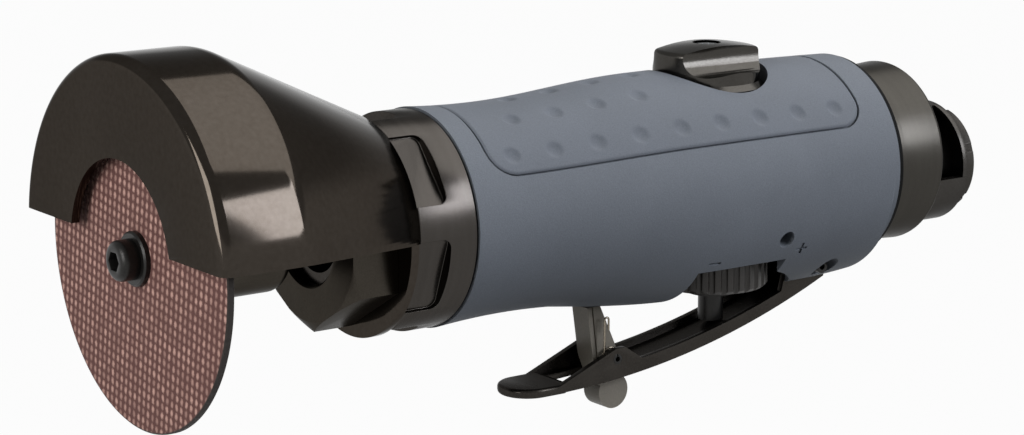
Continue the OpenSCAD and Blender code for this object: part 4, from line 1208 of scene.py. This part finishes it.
@dataclass
class Throttle:
    """Regulator, valve spring, throttle lever with its pins, and the lock lever with its spring."""

    x: float = 156.6
    regulator_r: float = 13.8
    regulator_low: float = -27.1
    regulator_top: float = -17.0
    neck_r: float = 6.05
    flutes: int = 28
    flute_r: float = 0.85
    pivot: Point2 = (179.7, -23.5)
    lever_w: float = 14.0
    wall: float = 1.5
    side: float = 3.2
    bend_r: float = 211.0
    low_at: float = 76.5
    low: float = 22.0
    reach: float = 85.7
    pin_r: float = 1.6
    pin_len: float = 29.5
    lock: Point2 = (122.6, -39.8)
    lock_t: float = 6.0
    lock_pin_r: float = 1.25
    lobe_r: float = 4.3
    lobe: Point2 = (1.8, -8.9)
    coil_r: float = 4.0
    coil_wire_r: float = 0.45
    coil_low: float = -5.4
    coil_top: float = 2.45
    coil_turns: int = 4
    bore_top: float = 3.0
    lift: float = 2.7

    def under(self, x: float) -> float:
        """Height of the lever's underside."""
        run = x - self.pivot[0] + self.low_at
        return self.pivot[1] - self.low + self.bend_r - math.sqrt(self.bend_r**2 - run**2)

    def line(self, x0: float, x1: float, up: float, n: int = 28) -> list[Point2]:
        """Points along the underside, moved up."""
        xs = [x0 + (x1 - x0) * i / n for i in range(n + 1)]
        return [(x, self.under(x) + up) for x in xs]

    def regulator(self) -> bpy.types.Object:
        """Makes the fluted disc round the valve."""
        r, low, top = self.regulator_r, self.regulator_low, self.regulator_top
        profile = [(self.neck_r, low), (r - 0.8, low), (r, low + 0.8), (r, top - 0.8), (r - 0.8, top)]
        obj = Bench.upright_lathe("fluted_regulator", profile + [(self.neck_r, top)], self.x, 224)
        flutes = []
        for i in range(self.flutes):
            a = 2 * math.pi * i / self.flutes
            centre = (self.x + (r + 0.1) * math.cos(a), (r + 0.1) * math.sin(a), (low + top) / 2)
            flutes.append(Bench.rod("flute", Along.Z, centre, self.flute_r, 30, 20))
        Bench.carve(obj, Bench.joined("flutes", flutes))
        return Bench.ease(obj, 0.15, 2, 35)

    def lever(self) -> bpy.types.Object:
        """Makes the bent channel with its tongue, eyes and slot."""
        px, pz = self.pivot
        lx, lz = self.lock
        tongue_x = px - self.low_at + 1.8
        end = px + 7.3
        peak = lz + 2.6
        half = self.lever_w / 2
        outline = self.line(tongue_x, end, 0) + self.line(end, lx + 7.4, self.side)
        outline += [(lx + 2.4, peak), (lx - 0.4, peak), (tongue_x, self.under(tongue_x) + 1.4)]
        obj = Bench.prism("throttle_lever_bent", outline, Along.Y, -half, half)
        ear = arc(px, pz, self.pin_r + 3, 0, 180, 16)
        ear += [(px - 7, self.under(px - 7) + 1), (px + 5.5, self.under(px + 5.5) + 1)]
        Bench.carve(obj, Bench.prism("ears", ear, Along.Y, -half, half), how=Cut.JOIN)
        tip = px - self.reach
        low = pz - self.low - 0.4
        tongue = [(tongue_x + 3, -half), (tongue_x + 3, half), (tip + half, half)]
        tongue += arc(tip + half, 0, half, 90, 270, 20)[1:]
        rolled = Bench.ease(Bench.prism("tongue", tongue, Along.Z, low, low + 2.3), 0.8, 4, 60)
        Bench.carve(obj, rolled, how=Cut.JOIN)
        inside = self.line(tongue_x + 2, end + 1, self.wall) + [(end + 1, 0), (tongue_x + 2, 0)]
        Bench.carve(obj, Bench.prism("inside", inside, Along.Y, self.wall - half, half - self.wall))
        Bench.carve(obj, Bench.rod("pin_way", Along.Y, (px, 0, pz), self.pin_r + 0.05, 60))
        Bench.carve(obj, Bench.rod("lock_way", Along.Y, (lx, 0, lz), self.lock_pin_r + 0.02, 60))
        slot = [(lx - 13.5, -3.3), (lx + 7.4, -3.3), (lx + 7.4, 3.3), (lx - 13.5, 3.3)]
        Bench.carve(obj, Bench.prism("lock_slot", slot, Along.Z, -60, 0))
        return Bench.ease(obj, 0.45, 3, 30)

    def roll_pin(self, name: str, place: Point2, r: float, bore: float, length: float) -> bpy.types.Object:
        """Makes a rolled pin with its open seam.

        Args:
            name: name of the piece.
            place: middle of the pin as (x, z).
            r: outer radius.
            bore: inner radius.
            length: length across the tool.

        Returns:
            The pin.
        """
        obj = Bench.rod(name, Along.Y, (place[0], 0, place[1]), r, length)
        Bench.carve(obj, Bench.rod("bore", Along.Y, (place[0], 0, place[1]), bore, length + 4))
        seam = [(place[0] - 0.15, place[1]), (place[0] + 0.15, place[1])]
        seam += [(place[0] + 0.15, place[1] + 5), (place[0] - 0.15, place[1] + 5)]
        Bench.carve(obj, Bench.prism("seam", seam, Along.Y, -length, length))
        return Bench.ease(obj, 0.12, 2, 40)

    def lock_lever(self) -> bpy.types.Object:
        """Makes the lock-off catch with its finger lobe."""
        lx, lz = self.lock
        half = self.lock_t / 2
        cx, cz = self.lobe
        plate = [
            (-6.2, 12.5),
            (-2.3, 12.5),
            (2.2, 2.6),
            (2.9, 0),
            (4.4, -5),
            (cx + self.lobe_r * 0.9, cz + self.lobe_r * 0.4),
            (cx - self.lobe_r * 0.9, cz + self.lobe_r * 0.4),
            (-2.8, -4),
            (-4.4, 0),
        ]
        obj = Bench.prism("lock_lever_moulded", [(lx + x, lz + z) for x, z in plate], Along.Y, -half, half)
        lobe = Bench.rod("lobe", Along.Y, (lx + cx, 0, lz + cz), self.lobe_r, self.lock_t, 64)
        Bench.carve(obj, lobe, how=Cut.JOIN)
        # A shallow line along each side marks the moulded rib of the front edge.
        line = [(-4.9, 12.6), (-4.5, 12.6), (-3.0, 0.4), (-1.6, -3.6), (-2.0, -3.8), (-3.4, 0.3)]
        for side in (-1, 1):
            low, high = sorted((side * (half - 0.3), side * (half + 1)))
            Bench.carve(obj, Bench.prism("rib_line", [(lx + x, lz + z) for x, z in line], Along.Y, low, high))
        Bench.carve(obj, Bench.rod("pin_way", Along.Y, (lx, 0, lz), self.lock_pin_r + 0.05, 30))
        return Bench.ease(obj, 0.35, 2, 30)

    def spring(self) -> bpy.types.Object:
        """Makes the torsion spring: a short coil, a long leg and its turned back end."""
        lx, lz = self.lock
        r, pitch, y0 = 2.3, 0.95, -3.35
        turns = 36
        points = []
        for i in range(turns + 1):
            a = math.pi + 2 * math.pi * 1.5 * (i / turns - 1)
            points.append(at(lx + r * math.cos(a), y0 - pitch * 1.5 * i / turns, lz - r * math.sin(a)))
        y = y0 - pitch * 1.5
        points += [at(lx - r, y, lz + 9.4 * i / 6) for i in range(1, 7)]
        hook = arc(lx - r + 0.6, lz + 9.4, 0.6, 180, 0, 10)[1:]
        points += [at(x, y, z) for x, z in hook]
        points.append(at(lx - r + 1.2, y, lz + 6.9))
        return Bench.wire("lock_spring_wound", points, 0.25)

    def valve_spring(self) -> bpy.types.Object:
        """Winds the coil between the plunger's head and the top of the valve bore."""
        per_turn = 24
        count = self.coil_turns * per_turn
        rise = (self.coil_top - self.coil_low) / count
        points = []
        for i in range(count + 1):
            a = 2 * math.pi * i / per_turn
            x, y = self.coil_r * math.cos(a), self.coil_r * math.sin(a)
            points.append(at(self.x + x, y, self.coil_low + rise * i))
        return Bench.wire("throttle_spring_wound", points, self.coil_wire_r)

    def build(self) -> None:
        """Builds and dresses the pieces under the body."""
        # The coil gets a mesh of its own.
        coil = fit(self.valve_spring(), "tool_body", "spring_steel", SPRING_WIRE, "throttle_spring")
        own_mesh(coil)
        fit(self.regulator(), "regulator", "regulator_plastic", REGULATOR_NYLON, "regulator_knob")
        fit(self.lever(), "lever", "lever_paint", LEVER_ENAMEL, "throttle_lever")
        pin = self.roll_pin("lever_roll_pin", self.pivot, self.pin_r, 0.8, self.pin_len)
        fit(pin, "tool_body", "machined_steel", BLACK_OXIDE, "lever_pin")
        pin = self.roll_pin("lock_roll_pin", self.lock, self.lock_pin_r, 0.65, self.lever_w)
        fit(pin, "lever", "machined_steel", BLACK_OXIDE, "lock_pin")
        fit(self.lock_lever(), "lock", "lock_plastic", LOCK_ACETAL, "lock_lever")
        fit(self.spring(), "lock", "spring_steel", SPRING_WIRE, "lock_spring")


@dataclass
class RearEnd:
    """Gasket, exhaust cap, swivelling deflector and the air inlet."""

    body_end: float = 194.4
    gasket_t: float = 1.5
    gasket_r: float = 25.5
    cap_len: float = 16.5
    cap_front_r: float = 22.0
    cap_rear_r: float = 22.5
    cap_bore_r: float = 18.5
    drop: float = 4.3
    inlet_r: float = 10.5
    drum_r: float = 15.3
    drum_wall: float = 1.6
    drum_len: float = 13.6
    drum_back: float = 1.2
    collar_len: float = 5.6
    collar_r: float = 13.3
    bore_r: float = 5.56
    bore_len: float = 14.0

    @property
    def cap_x(self) -> float:
        """Front of the cap."""
        return self.body_end + self.gasket_t

    @property
    def drum_x(self) -> float:
        """Front of the deflector."""
        return self.cap_x + self.cap_len + 0.3

    @property
    def end_x(self) -> float:
        """Mouth of the air inlet."""
        return self.drum_x + self.drum_len + self.collar_len

    def gasket(self) -> bpy.types.Object:
        """Makes the thin flat gasket."""
        a, b, r = self.body_end, self.cap_x, self.gasket_r
        profile = [(a, self.cap_bore_r), (a, r - 0.1), (a + 0.1, r), (b - 0.1, r), (b, r - 0.1)]
        return Bench.lathe("gasket_ring", profile + [(b, self.cap_bore_r)], steps=160)

    def cap(self) -> bpy.types.Object:
        """Makes the turned cap with its front land."""
        x, end = self.cap_x, self.cap_x + self.cap_len
        profile = [(x, self.cap_bore_r), (x, self.cap_front_r - 0.2), (x + 0.2, self.cap_front_r)]
        profile += [(x + 4.3, self.cap_front_r), (x + 4.4, self.cap_front_r - 0.25)]
        profile += arc(end - 1.2, self.cap_rear_r - 1.2, 1.2, 90, 0, 8)
        profile += [(end, 0), (end - 3.4, 0), (end - 3.4, self.cap_bore_r)]
        obj = Bench.lathe("exhaust_cap_turned", profile, steps=192)
        Bench.carve(obj, Bench.rod("inlet_way", Along.X, (end - 3, 0, -self.drop), self.inlet_r + 0.02, 20, 96))
        ports = []
        ring = (self.inlet_r + self.drum_r - self.drum_wall) / 2
        for i in range(8):
            a = math.radians(45 * i)
            centre = (end - 3, -ring * math.sin(a), ring * math.cos(a) - self.drop)
            ports.append(Bench.rod("port", Along.X, centre, 1.1, 20, 24))
        return Bench.carve(obj, Bench.joined("ports", ports))

    def deflector(self) -> bpy.types.Object:
        """Makes the drum with its exhaust window and notched collar."""
        x, r, wall = self.drum_x, self.drum_r, self.drum_wall
        drum_end = x + self.drum_len
        back = drum_end + self.drum_back
        clip_x = self.end_x - 1.5
        profile = [
            (x, self.inlet_r + 0.3),
            (x, r - 0.4),
            (x + 0.4, r),
            (back, r),
            (back, self.collar_r),
            (self.end_x - 0.4, self.collar_r),
            (self.end_x, self.collar_r - 0.4),
            (self.end_x, self.inlet_r + 1.9),
            (clip_x - 0.3, self.inlet_r + 1.9),
            (clip_x - 0.3, self.inlet_r + 0.05),
            (drum_end, self.inlet_r + 0.05),
            (drum_end, r - wall),
            (x + wall, r - wall),
            (x + wall, self.inlet_r + 0.3),
        ]
        obj = Bench.lathe("swivel_deflector", profile, z=-self.drop, steps=180)
        sector = [(0.0, -self.drop)]
        for i in range(13):
            a = math.radians(15 + 83 * i / 12)
            sector.append((-40 * math.sin(a), 40 * math.cos(a) - self.drop))
        window = Bench.prism("window", sector, Along.X, x + wall, drum_end - 0.4)
        Bench.carve(obj, window)
        notches = []
        for i in range(6):
            side = [(back + 1, -1), (self.end_x + 2, -1), (self.end_x + 2, 1), (back + 1, 1)]
            notch = Bench.prism("notch", side, Along.Z, self.collar_r - 0.5 - self.drop, 30)
            notches.append(Bench.turned(notch, 70 + 60 * i, -self.drop))
        Bench.carve(obj, Bench.joined("notches", notches))
        return Bench.ease(obj, 0.25, 2, 35)

    def inlet(self) -> bpy.types.Object:
        """Makes the inlet bushing with its tapped bore."""
        start, end, r = self.body_end - 16, self.end_x, self.inlet_r
        floor = end - self.bore_len
        clip = end - 1.5
        profile = [(start, self.bore_r - 1.2), (start, r), (clip - 0.02, r), (clip - 0.02, r - 0.7)]
        profile += [(clip + 1.02, r - 0.7), (clip + 1.02, r), (end - 0.3, r), (end, r - 0.3)]
        profile += [(end, self.bore_r + 0.7), (end - 0.7, self.bore_r)]
        # Rounded ridges stand for the pipe thread.
        pitch = 1.41
        steps = int((self.bore_len - 2) / pitch * 6)
        for i in range(steps):
            profile.append((end - 0.8 - pitch * i / 6, self.bore_r + 0.22 - 0.22 * math.cos(math.pi * i / 3)))
        profile += [(floor, self.bore_r), (floor, self.bore_r - 0.6), (floor - 0.82, self.bore_r - 0.6)]
        profile += [(floor - 0.82, self.bore_r - 1.2)]
        return Bench.lathe("inlet_bushing_turned", profile, z=-self.drop, steps=128)

    def build(self) -> None:
        """Builds and dresses the rear pieces."""
        fit(self.gasket(), "tool_body", "seal_rubber", NITRILE, "rear_gasket")
        fit(self.cap(), "tool_body", "cap_metal", CAP_METAL, "exhaust_cap")
        fit(self.deflector(), "deflector", "deflector_metal", DEFLECTOR_SATIN, "exhaust_deflector")
        # The inlet bushing wears black oxide as painted shade: its dark colour stands for the shaded inside seen
        # through the deflector's window.
        fit(self.inlet(), "tool_body", "machined_steel", BLACK_OXIDE, "inlet_bushing")


@dataclass
class InnerPieces:
    """Finishes of the CAD pieces whose shape stays as it is."""

    finishes: dict[str, Finish] = field(
        default_factory=lambda: {
            "housing_aluminium": CAST_ALUMINIUM,
            "bearing_steel": BEARING_STEEL,
            "machined_steel": TURNED_STEEL,
            "vane_composite": VANE_LAMINATE,
            "valve_brass": BRASS,
            "seal_rubber": NITRILE,
            "spring_steel": SPRING_WIRE,
            "felt": FELT,
        }
    )

    dark: tuple[str, ...] = ("throttle_plunger", "regulator_clip", "valve_bushing", "deflector_clip")

    def build(self) -> None:
        """Gives each slot of a kept CAD piece its finish."""
        slots = {part["node"]: part["material_slot"] for part in frame["record"]["subparts"]}
        for name, obj in frame["nodes"].items():
            finish = BLACK_OXIDE if name in self.dark else self.finishes.get(slots[name])
            if finish is None:
                continue
            for place in obj.material_slots:
                place.material = surface(finish)
            LOG.info("%s keeps its shape, %s", name, finish.name)


@dataclass
class Studio:
    """Pale floor, soft boxes, white surround and the camera of the photograph."""

    eye: Point3 = (-0.5341, -0.5562, 0.1476)
    target: Point3 = (-0.1352, 0.0, 0.00094)
    lens: float = 106.11
    floor_z: float = -0.22

    def lamp(self, name: str, place: Point3, aim: Point3, size: Point2, power: float, tint: str) -> None:
        """Hangs one soft box.

        Args:
            name: name of the lamp.
            place: middle of its face in metres.
            aim: point that it faces.
            size: width and height in metres.
            power: power in watts.
            tint: colour.
        """
        Bench.clear()
        bpy.ops.object.light_add(type="AREA", location=place)
        lamp = bpy.context.object
        lamp.name = name
        lamp.data.shape = "RECTANGLE"
        lamp.data.size, lamp.data.size_y = size
        lamp.data.energy = power
        lamp.data.color = linear(tint)[:3]
        lamp.rotation_euler = (Vector(aim) - Vector(place)).to_track_quat("-Z", "Y").to_euler()

    def floor(self) -> None:
        """Lays the pale floor far enough below to keep only a soft shadow."""
        Bench.clear()
        bpy.ops.mesh.primitive_plane_add(size=12, location=(0, 0, self.floor_z))
        floor = Bench.named("studio_floor")
        material = bpy.data.materials.new("matt_white_paper")
        material.use_nodes = True
        tree = material.node_tree
        tree.nodes.clear()
        coords = add_node(tree, "ShaderNodeTexCoord", {})
        fibre = add_node(tree, "ShaderNodeTexNoise", {"Vector": coords.outputs["Object"], "Scale": 40.0})
        tone = add_node(
            tree,
            "ShaderNodeMix",
            {0: fibre.outputs["Fac"], 6: linear("#525252"), 7: linear("#585858")},
            data_type="RGBA",
        )
        paper = add_node(tree, "ShaderNodeBsdfDiffuse", {"Color": tone.outputs[2]})
        glow = add_node(tree, "ShaderNodeEmission", {"Color": linear("#ffffff"), "Strength": 1.0})
        seen = self.seen(tree)
        share = add_node(tree, "ShaderNodeMath", {0: seen, 1: 0.97}, operation="MULTIPLY")
        mixed = add_node(tree, "ShaderNodeMixShader", {0: share.outputs[0], 1: paper.outputs[0], 2: glow.outputs[0]})
        add_node(tree, "ShaderNodeOutputMaterial", {"Surface": mixed.outputs[0]})
        floor.data.materials.append(material)

    def seen(self, tree: bpy.types.NodeTree) -> Any:
        """Socket that is 1 for rays from the camera, mirrors and glass."""
        path = add_node(tree, "ShaderNodeLightPath", {})
        first = add_node(
            tree,
            "ShaderNodeMath",
            {0: path.outputs["Is Camera Ray"], 1: path.outputs["Is Glossy Ray"]},
            operation="MAXIMUM",
        )
        second = add_node(
            tree,
            "ShaderNodeMath",
            {0: first.outputs[0], 1: path.outputs["Is Transmission Ray"]},
            operation="MAXIMUM",
        )
        return second.outputs[0]

    def surround(self) -> None:
        """Lights the room softly and shows it white."""
        world = bpy.data.worlds.new("white_room")
        bpy.context.scene.world = world
        world.use_nodes = True
        tree = world.node_tree
        tree.nodes.clear()
        # The white sweep ends a little above the horizon, under a dim ceiling.
        coords = add_node(tree, "ShaderNodeTexCoord", {})
        parts = add_node(tree, "ShaderNodeSeparateXYZ", {"Vector": coords.outputs["Generated"]})
        sweep = add_node(
            tree, "ShaderNodeMapRange", {"Value": parts.outputs["Z"], "From Min": 0.27, "From Max": 0.18}
        )
        shown = add_node(
            tree, "ShaderNodeMapRange", {"Value": sweep.outputs[0], "To Min": 0.5, "To Max": 1.0}
        )
        strength = add_node(
            tree,
            "ShaderNodeMapRange",
            {"Value": self.seen(tree), "To Min": 0.1, "To Max": shown.outputs[0]},
        )
        room = add_node(
            tree, "ShaderNodeBackground", {"Color": linear("#ffffff"), "Strength": strength.outputs[0]}
        )
        add_node(tree, "ShaderNodeOutputWorld", {"Surface": room.outputs[0]})

    def camera(self) -> None:
        """Sets the camera where the photograph was taken."""
        Bench.clear()
        bpy.ops.object.camera_add(location=self.eye)
        camera = bpy.context.object
        camera.data.lens = self.lens
        camera.data.sensor_width = 36.0
        camera.rotation_euler = (Vector(self.target) - Vector(self.eye)).to_track_quat("-Z", "Y").to_euler()
        bpy.context.scene.camera = camera

    def build(self) -> None:
        """Sets up the whole studio."""
        bpy.context.scene.view_settings.view_transform = "Standard"
        middle = (-0.13, 0.0, 0.0)
        self.surround()
        self.floor()
        self.lamp("overhead_box", (0.6, -0.05, 0.97), middle, (1.5, 0.9), 10.7, "#ffffff")
        self.lamp("right_box", (1.3, -1.8, 1.01), middle, (1.0, 1.0), 36.0, "#f2f6ff")
        self.lamp("left_box", (-1.0, -0.15, 0.3), (-0.2, 0.0, 0.0), (0.5, 0.5), 5.8, "#ffffff")
        self.camera()


def main() -> None:
    """Builds all pieces in order, then the studio."""
    logging.basicConfig(level=logging.INFO, format="%(message)s")
    for part in (WheelSet(), Guard(), Nose(), Body(), ReverseControl(), Throttle(), RearEnd(), InnerPieces()):
        LOG.info("building %s", type(part).__name__)
        part.build()
    Studio().build()


if __name__ == "__main__":
    main()
